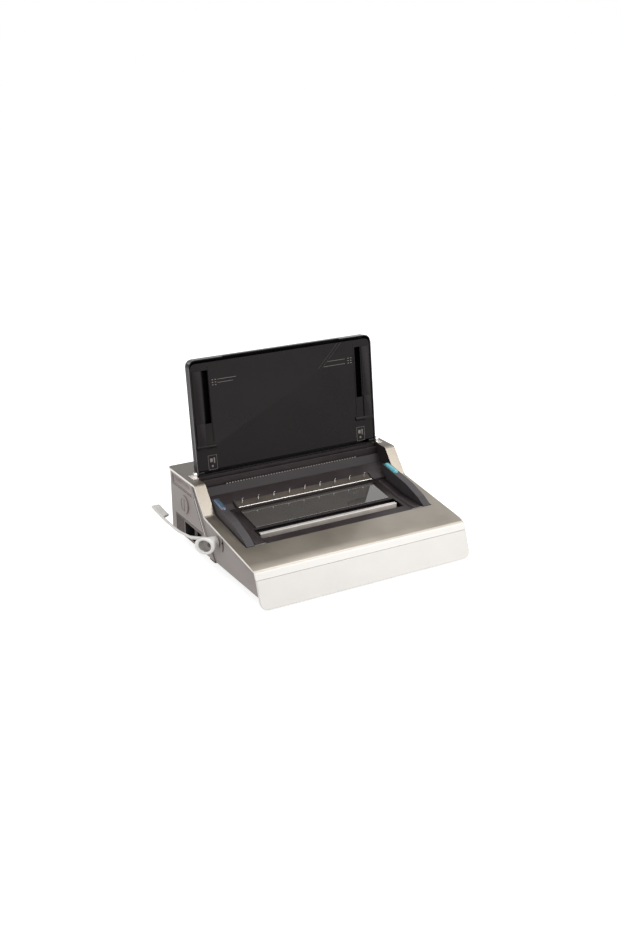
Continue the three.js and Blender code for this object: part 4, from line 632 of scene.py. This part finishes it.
# Closing lever: a tube hub cut on a slant, a thin bowed arm and a ribbed paddle
lever = {
    "centre": (-33.0, 77.0), "hubRadius": 18.2, "neckRadius": 12.6, "cupRadius": 12.8, "boreRadius": 6.3,
    "face": -249.3, "end": -278.0, "slope": math.tan(math.radians(36)), "cupFloor": -268.0,
    "boreFloor": -258.3, "droop": 4.0, "droopGap": 3, "sides": 72, "far": -294.5, "armWide": 5.4,
    "paddleWide": 20.0, "thick": 5.0, "corner": 1.8, "rootWide": 7, "rootRun": (-14, 10),
    "paddleRun": (147, 156), "tip": 5, "tipShare": 0.6, "ribs": 6, "ribRun": (161, 203), "ribRadius": 0.8,
    "ribInset": 3, "ribSink": 0.25, "plug": 4.2, "skin": 0.15,
    "line": [(-36, 86.2), (-20, 84.8), (24, 77.6), (69, 71.6), (134, 71.5), (158, 73), (184, 75.2),
             (210, 77.5)],
}


def drooped(v, shape):
    # the hub's outer end hangs a little low, by nothing at the casing and most at its far end
    points, faces = shape
    start = v["face"] - v["droopGap"]
    reach = np.clip((start - points[:, 0]) / (start - v["end"]), 0, 1)
    points[:, 2] -= v["droop"] * reach
    return points, faces


def leverHub(v):
    # a cone that widens from its neck to a slanted ring with a cup in it
    r, end, neck, cup = v["hubRadius"], v["end"], v["neckRadius"], v["cupRadius"]
    profile = [
        (v["boreRadius"], v["boreFloor"], 0), (v["boreRadius"], v["face"], 0), (neck - 1.0, v["face"], 0),
        (neck - 0.3, v["face"] - 0.3, 0), (neck, v["face"] - 1.2, 0), (neck + 0.4, v["face"] - 5, 0.1),
        (neck + 2.2, end + 16, 0.5), (r - 1.0, end + 8, 0.9), (r, end + 3, 1), (r, end + 1.6, 1),
        (r - 0.5, end + 0.5, 1), (r - 1.6, end, 1), (cup + 1.4, end, 1), (cup + 0.5, end + 0.5, 1),
        (cup, end + 1.6, 1), (cup - 0.5, v["cupFloor"] - 3, 0.5), (cup - 1.4, v["cupFloor"] - 0.6, 0.4),
        (cup - 3.0, v["cupFloor"], 0.4)]
    return drooped(v, turned(profile, v["centre"], v["sides"], v["slope"]))


def eased(share):
    # a share between 0 and 1 that starts and ends gently: 3 s^2 - 2 s^3
    share = np.clip(share, 0, 1)
    return share * share * (3 - 2 * share)


def leverArm(v):
    # a rounded rectangle carried along the bowed line; it widens at the root and at the paddle
    line = throughPoints(v["line"], 14)
    y, z = line[:, 0], line[:, 1]
    slant = v["end"] - (y - v["centre"][0]) * v["slope"]
    far = np.maximum(v["far"], slant)
    paddle = eased((y - v["paddleRun"][0]) / (v["paddleRun"][1] - v["paddleRun"][0]))
    root = eased((v["rootRun"][1] - y) / (v["rootRun"][1] - v["rootRun"][0]))
    wide = v["armWide"] + (v["paddleWide"] - v["armWide"]) * paddle + v["rootWide"] * root
    tip = np.clip((y - (y.max() - v["tip"])) / v["tip"], 0, 1)
    shrink = np.sqrt(np.clip(1 - tip ** 2, 0.09, 1))
    rings = []
    for a, b, x, w, s in zip(y, z, far, wide, shrink):
        high = v["thick"] / 2 * s
        half = w / 2 * (v["tipShare"] + (1 - v["tipShare"]) * s)
        section = roundedOutline(half, high, min(v["corner"], high * 0.9), 4)
        rings.append(np.stack([
            section[:, 0] + x + w / 2, np.full(len(section), a), section[:, 1] + b + v["thick"] / 2], 1))
    return loft(np.array(rings))


def leverRibs(v):
    # low half-round ribs along the paddle's upper face
    top = throughPoints([(p[0], p[1] + v["thick"]) for p in v["line"][5:]], 8)
    top = top[(top[:, 0] > v["ribRun"][0]) & (top[:, 0] < v["ribRun"][1])]
    fade = np.sin(np.linspace(0.15, math.pi - 0.15, len(top))) ** 0.5
    ribs = []
    first, last = v["far"] + v["ribInset"], v["far"] + v["paddleWide"] - v["ribInset"]
    for x in np.linspace(first, last, v["ribs"]):
        path = np.stack([np.full(len(top), x), top[:, 0], top[:, 1] - v["ribSink"] - 0.5 * (1 - fade)], 1)
        ribs.append(rod(path, v["ribRadius"], 8))
    return ribs


def leverPlug(v):
    # a dark screw seat on the cup's floor
    y, z = v["centre"]
    r, floor = v["plug"], v["cupFloor"]
    profile = [(r, floor + 1, 0), (r, floor - 1.2, 0), (r - 0.6, floor - 1.8, 0), (r / 3, floor - 1.8, 0)]
    return turned(profile, (y - 2.0, z - v["droop"] * 0.6), 24)


def leverRing(v, kind):
    # a skin over the slanted ring, or over the cup inside it, a hair above the moulding: the ring's skin is
    # a painted highlight and the cup's a painted shade
    r, end, cup, floor, skin = v["hubRadius"], v["end"], v["cupRadius"], v["cupFloor"], v["skin"]
    profiles = {
        "ring": [(r - 1.0, end + 2.4, 1), (r + skin, end + 2.4, 1), (r + skin, end + 1.6, 1),
                 (r - 0.4, end + 0.4 - skin, 1), (r - 1.6, end - skin, 1), (cup + 1.4, end - skin, 1),
                 (cup + 0.4, end + 0.4 - skin, 1), (cup - skin, end + 1.6, 1), (cup - skin, end + 2.6, 1),
                 (cup + 1.0, end + 2.6, 1)],
        "cup": [(cup + 0.6, end + 2.9, 0.95), (cup - skin, end + 2.7, 0.97),
                (cup - 0.5 - skin, floor - 3, 0.5), (cup - 1.4, floor - 0.6 - skin, 0.4),
                (cup - 3.0, floor - skin, 0.4), (2.0, floor - skin, 0.4), (2.0, floor + 0.5, 0.4),
                (cup - 1.0, floor + 0.5, 0.4), (cup + 0.2, floor - 2.5, 0.5)]}
    return drooped(v, turned(profiles[kind], v["centre"], v["sides"], v["slope"], closed=True))


# the ring's skin is a painted highlight, the cup's skin a painted shade
for kind, material in (("ring", "hubRingPaintedHighlight"), ("cup", "hubCupPaintedShade")):
    addPiece(f"closer_lever_{kind}", leverRing(lever, kind), material, "lever", degrees=60)
addPiece("closer_lever_plug", leverPlug(lever), "taupeAbs", "lever")
addPiece("closer_lever_shaped", [leverHub(lever), leverArm(lever), *leverRibs(lever)], "whiteAbs", "lever",
         replaced=("closer_lever",), degrees=40)
print("lever made")

# Punch buttons: crowned ovals that follow the slope of the ramp
button = {"x": 212.85, "y": 25.0, "long": 46.0, "wide": 13.0, "low": 122.5,
          "knee": (-47.0, 118.6), "rear": (52.0, 136.0),
          "crown": [(0, -0.4), (0.25, 0.7), (0.9, 1.6), (2.0, 2.4), (3.6, 3.1), (5.2, 3.6)]}


def buttonShape(v, side):
    # stacked ovals, inset and lifted off the ramp by the rows of the crown, above a flat foot
    half = v["wide"] / 2
    t = fullTurn(48)
    straight = v["long"] / 2 - half
    oval = np.stack([half * np.cos(t), half * np.sin(t) + np.sign(np.sin(t) + 1e-9) * straight], 1)
    slope = (v["rear"][1] - v["knee"][1]) / (v["rear"][0] - v["knee"][0])
    rings = []
    for depth, lift in [(0, None), *v["crown"]]:
        ring = insetOutline(oval, depth)
        x = ring[:, 0] + side * v["x"]
        y = ring[:, 1] + v["y"]
        plane = v["knee"][1] + (y - v["knee"][0]) * slope
        z = np.full(len(y), v["low"]) if lift is None else plane + lift
        rings.append(np.stack([x, y, z], 1))
    return loft(np.array(rings))


# the left button is painted a darker blue: painted shade
for side, name, material in ((-1, "left", "tealClearPaintedShade"), (1, "right", "tealClear")):
    addPiece(f"punch_button_{name}_crowned", buttonShape(button, side), material, f"button_{name}",
             replaced=(f"punch_button_{name}",), degrees=50)
print("buttons made")

# Edge guide knob: a shallow dish with a grip bar across it
knob = {"centre": (124.6, 104.6), "radius": 20.0, "face": -252.3, "back": -249.3, "dish": 14.0,
        "dishDepth": 1.2, "bore": 4.3, "gripHalf": 2, "gripGap": 0.4}


def knobShape(v):
    r, face, back, dish = v["radius"], v["face"], v["back"], v["dish"]
    floor = face + v["dishDepth"]
    profile = [
        (v["bore"], back, 0), (r - 0.4, back, 0), (r, back - 0.4, 0), (r, face + 0.9, 0),
        (r - 0.3, face + 0.3, 0), (r - 0.9, face, 0), (dish + 1, face, 0), (dish + 0.3, face + 0.3, 0),
        (dish, floor, 0), (3, floor, 0)]
    (y, z), half, gap = v["centre"], v["gripHalf"], v["gripGap"]
    grip = box((face, back - 0.5), (y - half, y + half), (z - dish + gap, z + dish - gap), 0.5, 0.9)
    return [turned(profile, v["centre"], 64), grip]


addPiece("edge_guide_knob_turned", knobShape(knob), "greyPowderCoat", "edge_knob",
         replaced=("edge_guide_knob",))
print("knob made")

# Hook strip: a bent plate on the deck's slope, with wire hooks behind its upper edge, each with a painted
# shadow beside it as a dark strip
strip = {"half": 166.0, "lip": (33.7, 109.9), "foot": (33.7, 110.8), "top": (48.0, 118.3), "wall": 2.0,
         "hooks": 9, "pitch": 38.0, "tall": 12.0, "wire": 1.15, "beak": 3.2, "shadowLong": 25.0,
         "slope": (34, 111.8, 7.5, 14), "ends": 4.5}


def stripPlate(v):
    lipY, lipZ = v["lip"]
    footY, footZ = v["foot"]
    topY, topZ = v["top"]
    wall = v["wall"]
    outline = np.array([
        (lipY, lipZ), (footY, footZ), (topY, topZ), (topY, topZ + wall), (footY - wall, footZ + wall),
        (lipY - wall, lipZ)])
    return slab(outline, -v["half"], v["half"], 0, 0.3)


def stripEdgeHighlight(v):
    # a bright round rod along the front of the plate: a painted highlight on its edge
    y, z = v["lip"][0] - v["wall"] + 0.35, v["foot"][1] + v["wall"] - 0.1
    reach = v["half"] - 0.5
    return rodAlongX([(x, y, z) for x in np.linspace(-reach, reach, 12)], 0.55)


def stripEnds(v):
    # a dark end block each side
    (footY, footZ), (topY, topZ) = v["foot"], v["top"]
    rise = (topZ - footZ) / (topY - footY)
    shapes = []
    for side in (-1, 1):
        outline = np.array([
            (footY - 1.6, footZ - 0.2), (topY + 1.5, topZ + 0.2 + 1.5 * rise),
            (topY + 1.5, topZ + 4.6 + 1.5 * rise), (footY - 1.6, footZ + 4.2)])
        x = sorted((side * v["half"], side * (v["half"] + v["ends"])))
        shapes.append(slab(outline, x[0], x[1], 0, 0.5))
    return shapes


def stripHookShadows(v, places):
    # a dark strip behind the plate to the right of each hook, with a short upright end: a painted shadow
    (topY, topZ), long = v["top"], v["shadowLong"]
    shapes = []
    for x in places:
        shapes.append(box((x + 2, x + 2 + long), (topY + 1.0, topY + 2.4), (topZ - 0.3, topZ + 1.15), 0.15))
        shapes.append(box((x + 0.6, x + 2.4), (topY + 1.0, topY + 5), (topZ - 0.3, topZ + 1.9), 0.15))
    return shapes


def stripHooks(v):
    # each hook stands up from the plate and leans over to the front, like a bent wire with a round end
    stem = v["lip"][0] + 0.3 + (v["top"][0] - v["lip"][0] - 0.3) * 0.6
    slopeY, slopeZ, rise, run = v["slope"]
    low = slopeZ + (stem - slopeY) * rise / run
    high = low + v["tall"]
    line = throughPoints([
        (0, stem + 0.8, low - 0.6), (0, stem + 0.8, low + v["tall"] * 0.55), (0, stem + 0.2, high - 2.2),
        (0, stem - v["beak"] * 0.45, high - 1.2), (0, stem - v["beak"] + 1, high - 1.5)], 6)
    radius = np.full(len(line), v["wire"])
    radius[-3:] *= [0.9, 0.7, 0.35]
    offsets = (np.arange(v["hooks"]) - (v["hooks"] - 1) / 2) * v["pitch"]
    return [rod(line + [x, 0, 0], radius) for x in offsets], offsets


hooks, hookPlaces = stripHooks(strip)
addPiece("wire_holder_bent", stripPlate(strip), "bronzeLacquer", "casing", replaced=("wire_holder",))
# the rod along the plate's front is a painted highlight
addPiece("wire_hooks_and_edge_highlight", [*hooks, stripEdgeHighlight(strip)], "brightWire", "casing")
addPiece("wire_holder_ends", stripEnds(strip), "darkAbs", "casing")
# the dark strips beside the hooks are painted shadows
addPiece("wire_holder_hook_shadows", stripHookShadows(strip, hookPlaces[:-1]), "blackAbs", "casing")
print("hook strip made")

# Lid details are drawn about the hinge line and turned with the lid
lidTurn = {"hinge": (113.1, 172.4), "lean": math.radians(6.2)}


def onLid(shape):
    # local Y and Z of the lid to machine Y and Z
    points, faces = shape
    lean = lidTurn["lean"]
    y = lidTurn["hinge"][0] + points[:, 1] * math.cos(lean) + points[:, 2] * math.sin(lean)
    z = lidTurn["hinge"][1] + points[:, 2] * math.cos(lean) - points[:, 1] * math.sin(lean)
    return np.stack([points[:, 0], y, z], 1), faces


# Raised parts are rows of inner and outer X, low and high Z, how far they stand out and reach in, and the
# radii of their edges and corners. A crease is as wide and as tall as its size
lidParts = {"face": -3.5, "creaseTop": (146.0, 234.0), "creaseFoot": (95.0, 184.0), "creaseGap": 9.0,
            "creaseSize": (1.7, 1.0), "edge": -4.85, "half": 222.3, "foot": -3.0, "top": 228.0, "bead": 0.7,
            "raised": (((177.0, 179.4), (64, 226), (0.9, 1), (0.35, 0.5)),
                       ((200.5, 206.5), (62, 104), (2.0, 1), (0.9, 1.3)),
                       ((182.0, 212.0), (50, 56), (1.1, 0.6), (0.5, 0.7)))}


def lidRims(v):
    # a thin rim along each slot's inner edge, and a clip over a low pad below each slot
    face = v["face"]
    shapes = []
    for side in (-1, 1):
        for across, heights, (out, deep), radii in v["raised"]:
            x = sorted(side * place for place in across)
            shapes.append(box(x, (face - out, face + deep), heights, *radii))
    return [onLid(shape) for shape in shapes]


def lidEdge(v):
    # a polished bead up both sides of the lid's front rim, whose pale finish is a painted highlight
    heights = np.linspace(v["foot"], v["top"], 24)
    return [
        onLid(rod([(x, v["edge"], z) for z in heights], v["bead"], 8)) for x in (-v["half"], v["half"])]


def ridge(start, end, face, wide, tall):
    # a low ridge with a sharp crest, on the lid's face, from one X and Z to another
    a, b = np.array(start, float), np.array(end, float)
    along = (b - a) / np.linalg.norm(b - a)
    across = np.array([-along[1], along[0]]) * wide / 2
    corners = [(a - across, 0.2), (a, -tall), (a + across, 0.2)]
    first = np.array([(p[0], face + lift, p[1]) for p, lift in corners])
    shift = np.array([b[0] - a[0], 0, b[1] - a[1]])
    return loft(np.stack([first, first + shift]))


def lidCreases(v):
    # twin ridges that run down from the right end of the finger notch
    (topX, topZ), (footX, footZ) = v["creaseTop"], v["creaseFoot"]
    return [
        onLid(ridge((topX - step, topZ), (footX - step, footZ), v["face"], *v["creaseSize"]))
        for step in (0, v["creaseGap"])]


# Marks on the lid: ticks and lines, and a frame from the lines of the last rows, about its middle
lidPrint = {"tickStarts": (-170.3, 162.9), "tickStep": 6.8, "tickLevels": (186.0, 191.4, 196.8),
            "tick": (3.4, 1.5), "line": 0.8, "depth": (0.12, 0.3), "edge": 0.05,
            "lines": ((-137, 196.6, 44), (-141, 189.6, 36), (132, 196.6, 44), (127, 186.2, 54)),
            "frame": 185.3, "frameMarks": ((0, 4.5, 20.5, 0.6), (0, 35.5, 20.5, 0.6), (-10, 20, 0.6, 31),
                                           (10, 20, 0.6, 31), (-3, 25, 6, 8), (4, 24, 3, 12),
                                           (-1, 12, 4.2, 4.2))}


def lidMarks(v, face):
    # three pairs of size ticks each side, with a thin line pair, and a framed mark low on each side
    out, deep = v["depth"]
    marks = [(x + step, z, *v["tick"]) for x in v["tickStarts"] for z in v["tickLevels"]
             for step in (0, v["tickStep"])]
    marks += [(x, z, wide, v["line"]) for x, z, wide in v["lines"]]
    marks += [(side * v["frame"] + x, *rest) for side in (-1, 1) for x, *rest in v["frameMarks"]]
    return [
        onLid(box((x - wide / 2, x + wide / 2), (face - out, face + deep),
                  (z - tall / 2, z + tall / 2), v["edge"]))
        for x, z, wide, tall in marks]


addPiece("lid_rims", lidRims(lidParts), "lidAbs", "lid")
# the creases are painted lighter than the lid: a painted highlight
addPiece("lid_creases", lidCreases(lidParts), "creasePaintedHighlight", "lid", degrees=20)
addPiece("lid_marks", lidMarks(lidPrint, lidParts["face"]), "dimPrint", "lid")
# the lid's edge bead is painted lighter: a painted highlight
addPiece("lid_edge_highlight_bead", lidEdge(lidParts), "lidBeadPaintedHighlight", "lid", degrees=60)
print("lid details made")

ticks = {"count": 49, "pitch": 6.7, "half": 1.7, "y": (96.0, 97.2), "z": (143.8, 146.0),
         "radii": (0.25, 0.4)}


def tickRow(v):
    # small raised teeth along the upper edge of the throat bar
    places = (np.arange(v["count"]) - (v["count"] - 1) / 2) * v["pitch"]
    return [box((x - v["half"], x + v["half"]), v["y"], v["z"], *v["radii"]) for x in places]


addPiece("throat_ticks", tickRow(ticks), "greyPrint", "casing")
print("tick row made")

# Small parts. Edge highlights are thin pale strips painted where light catches the front edges of the ribs
# and ramps: rows of inner X, outer X, low, high and distance from the recess's front wall.
# Screws are rows of axis, radius and the places in X, Y and Z, and their dome is rows of share and height
small = {"recessFront": -118.0, "edgeHighlights": ((177, 204.5, 88.1, 89.2, 5.4), (204.5, 221.5, 90, 91.4, 7.2)),
         "edgeHighlightDepth": (-1.4, 0.2), "slider": (-59.0, 83.0), "faceRibs": (136.5, 172, 8),
         "faceDepth": (-249.0, -248.0), "faceHeights": (31, 66), "faceRibHalf": 0.9,
         "seamSides": (-248.9, 249.0), "seamHighlight": ((71.5, 136.0), (25.0, 68.5), 1.1),
         "seamShadow": ((75.8, 136.0), (29.4, 68.5), 0.8), "shadowLineDepth": (248.2, 249.0),
         "handleShadowLine": ((84, 190), (133.6, 135.4)), "capDepth": (240.0, 248.8),
         "endCap": ((-20, 8), (22.5, 27.5)), "dome": ((1.0, -0.4), (1.0, 0.5), (0.85, 0.95), (0.5, 1.25)),
         "browSeamShadow": ((-246.5, 246.5), (-209.2, -206.8), (60.35, 60.95)),
         "screws": (("y", 2.6, (-228, -76, 76, 228), (198.0,), (24, 150)),
                    ("-z", 2.6, (-150, 0, 150), (-150, 20, 180), (10.0,)),
                    ("z", 1.7, (-234.2,), (103.6, 122.6), (167.3,)),
                    ("z", 1.7, (234.2,), (103.6, 122.6), (167.3,)))}


def frontEdgeHighlights(v):
    # thin bright strips where the ribs and the ramps meet the recess's front wall: painted highlights on
    # their front edges
    front, back = v["edgeHighlightDepth"]
    shapes = []
    for side in (-1, 1):
        for near, far, low, high, rear in v["edgeHighlights"]:
            x = sorted((side * near, side * far))
            y = v["recessFront"] + rear
            shapes.append(box(x, (y + front, y + back), (low, high), 0.3))
    return shapes


def leverSlider(v):
    # a blackened shoe seen in the curved slot
    y, z = v["slider"]
    return [turned([(2.2, -247.5, 0), (2.2, -249.2, 0), (1.6, -249.9, 0)], (y, z), 20),
            box((-247.9, -247.2), (y - 2.0, y + 2.0), (z - 9, z + 3), 0.2)]


def chipFaceRibs(v):
    # upright ribs on the chip drawer's rear block
    places = np.linspace(*v["faceRibs"])
    half = v["faceRibHalf"]
    return [box(v["faceDepth"], (y - half, y + half), v["faceHeights"], 0.3) for y in places]


def seamLines(start, end, radius):
    # a straight bead along each side's seam, flush with the casing's greatest width on the right; the pale
    # ones are a painted highlight on the seam's ridge and the dark ones a painted shadow in its grooves
    share = np.linspace(0, 1, 12)[:, None]
    path = np.array(start) * (1 - share) + np.array(end) * share
    left, right = small["seamSides"]
    return [rod(np.concatenate([np.full((12, 1), x), path], 1), radius, 8) for x in (left, right - radius)]


def sideTrimAndShadow(v):
    # a dark line along each handle opening's foot, a painted shadow under its lip, and a dark end cap below
    # each side's seam
    shapes = []
    for side in (-1, 1):
        line, cap = (sorted(side * x for x in v[part]) for part in ("shadowLineDepth", "capDepth"))
        shapes.append(box(line, *v["handleShadowLine"], 0.15, 0.3))
        shapes.append(box(cap, *v["endCap"], 1.2, 4))
    return shapes


def screwHead(dome, centre, axis, radius):
    # a low domed head, drawn along Z and turned to its axis
    turn = fullTurn(24)
    rings = []
    for share, high in dome:
        rings.append(np.stack([share * radius * np.cos(turn), share * radius * np.sin(turn),
                               np.full(len(turn), high)], 1))
    points, faces = loft(np.array(rings))
    if axis == "y":
        points = np.stack([points[:, 0], points[:, 2], points[:, 1]], 1)
    if axis == "-z":
        points = points * [1, 1, -1]
    return points + centre, faces


def screws(v):
    return [
        screwHead(v["dome"], (x, y, z), axis, radius)
        for axis, radius, across, deep, high in v["screws"] for x in across for y in deep for z in high]


# pale beads on the seams: a painted highlight
addPiece("seam_highlight_beads", seamLines(*small["seamHighlight"]), "paintedEdgeHighlight", "casing", degrees=60)
# dark lines beside them: a painted shadow in the seam's grooves
addPiece("seam_shadow_lines", seamLines(*small["seamShadow"]), "blackAbs", "casing",
         degrees=60)
# the dark line under each handle opening is a painted shadow
addPiece("side_trim_and_shadow", sideTrimAndShadow(small), "blackAbs", "casing")
# a dark strip in the seam under the brow: a painted shadow
addPiece("brow_seam_shadow", box(*small["browSeamShadow"], 0.1), "blackAbs", "casing")
# thin pale strips at the recess's front: painted highlights
addPiece("front_edge_highlights", frontEdgeHighlights(small), "greyPrint", "casing")
addPiece("lever_slider", leverSlider(small), "blackenedSteel", "casing")
addPiece("chip_face_ribs", chipFaceRibs(small), "darkAbs", "chip_bin")
addPiece("casing_screws", screws(small), "groundSteel", "casing")
print("small parts made")


# The floor's half side in metres, and how bright floor and world are
stage = {"half": 12, "floor": (0.62, 0.61, 0.6, 1), "floorGlow": 0.8, "sky": 0.55, "skySeen": 1.0}


def seenRays(tree):
    # 1 for rays from the camera and for mirror rays, 0 for the light that falls on the object
    rays = addNode(tree, "ShaderNodeLightPath")
    return addNode(
        tree, "ShaderNodeMath", {"operation": "MAXIMUM"},
        {0: rays.outputs["Is Camera Ray"], 1: rays.outputs["Is Glossy Ray"]}).outputs[0]


def makeStage(v):
    # pale floor and a world that is white to the camera; the object's shadow stays on the floor
    floor = bpy.data.meshes.new("floor")
    corners = [(x * v["half"], y * v["half"], 0) for x, y in ((-1, -1), (1, -1), (1, 1), (-1, 1))]
    floor.from_pydata(corners, [], [(0, 1, 2, 3)])
    floorObject = addObject("floor", floor)
    material = bpy.data.materials.new("paleFloor")
    tree = emptyTree(material)
    output = addNode(tree, "ShaderNodeOutputMaterial")
    matt = addNode(tree, "ShaderNodeBsdfDiffuse", {"Color": v["floor"]})
    glow = addNode(tree, "ShaderNodeEmission", {"Color": (1, 1, 1, 1), "Strength": v["floorGlow"]})
    both = addNode(tree, "ShaderNodeAddShader", None, {0: matt.outputs[0], 1: glow.outputs[0]})
    mix = addNode(
        tree, "ShaderNodeMixShader", None, {0: seenRays(tree), 1: matt.outputs[0], 2: both.outputs[0]})
    tree.links.new(mix.outputs[0], output.inputs[0])
    floor.materials.append(material)
    world = bpy.data.worlds.new("studio")
    bpy.context.scene.world = world
    sky = emptyTree(world)
    skyOutput = addNode(sky, "ShaderNodeOutputWorld")
    strength = addNode(sky, "ShaderNodeMapRange", {3: v["sky"], 4: v["skySeen"]}, {0: seenRays(sky)})
    background = addNode(
        sky, "ShaderNodeBackground", {"Color": (1, 1, 1, 1)}, {"Strength": strength.outputs[0]})
    sky.links.new(background.outputs[0], skyOutput.inputs[0])


makeStage(stage)
print("stage made")
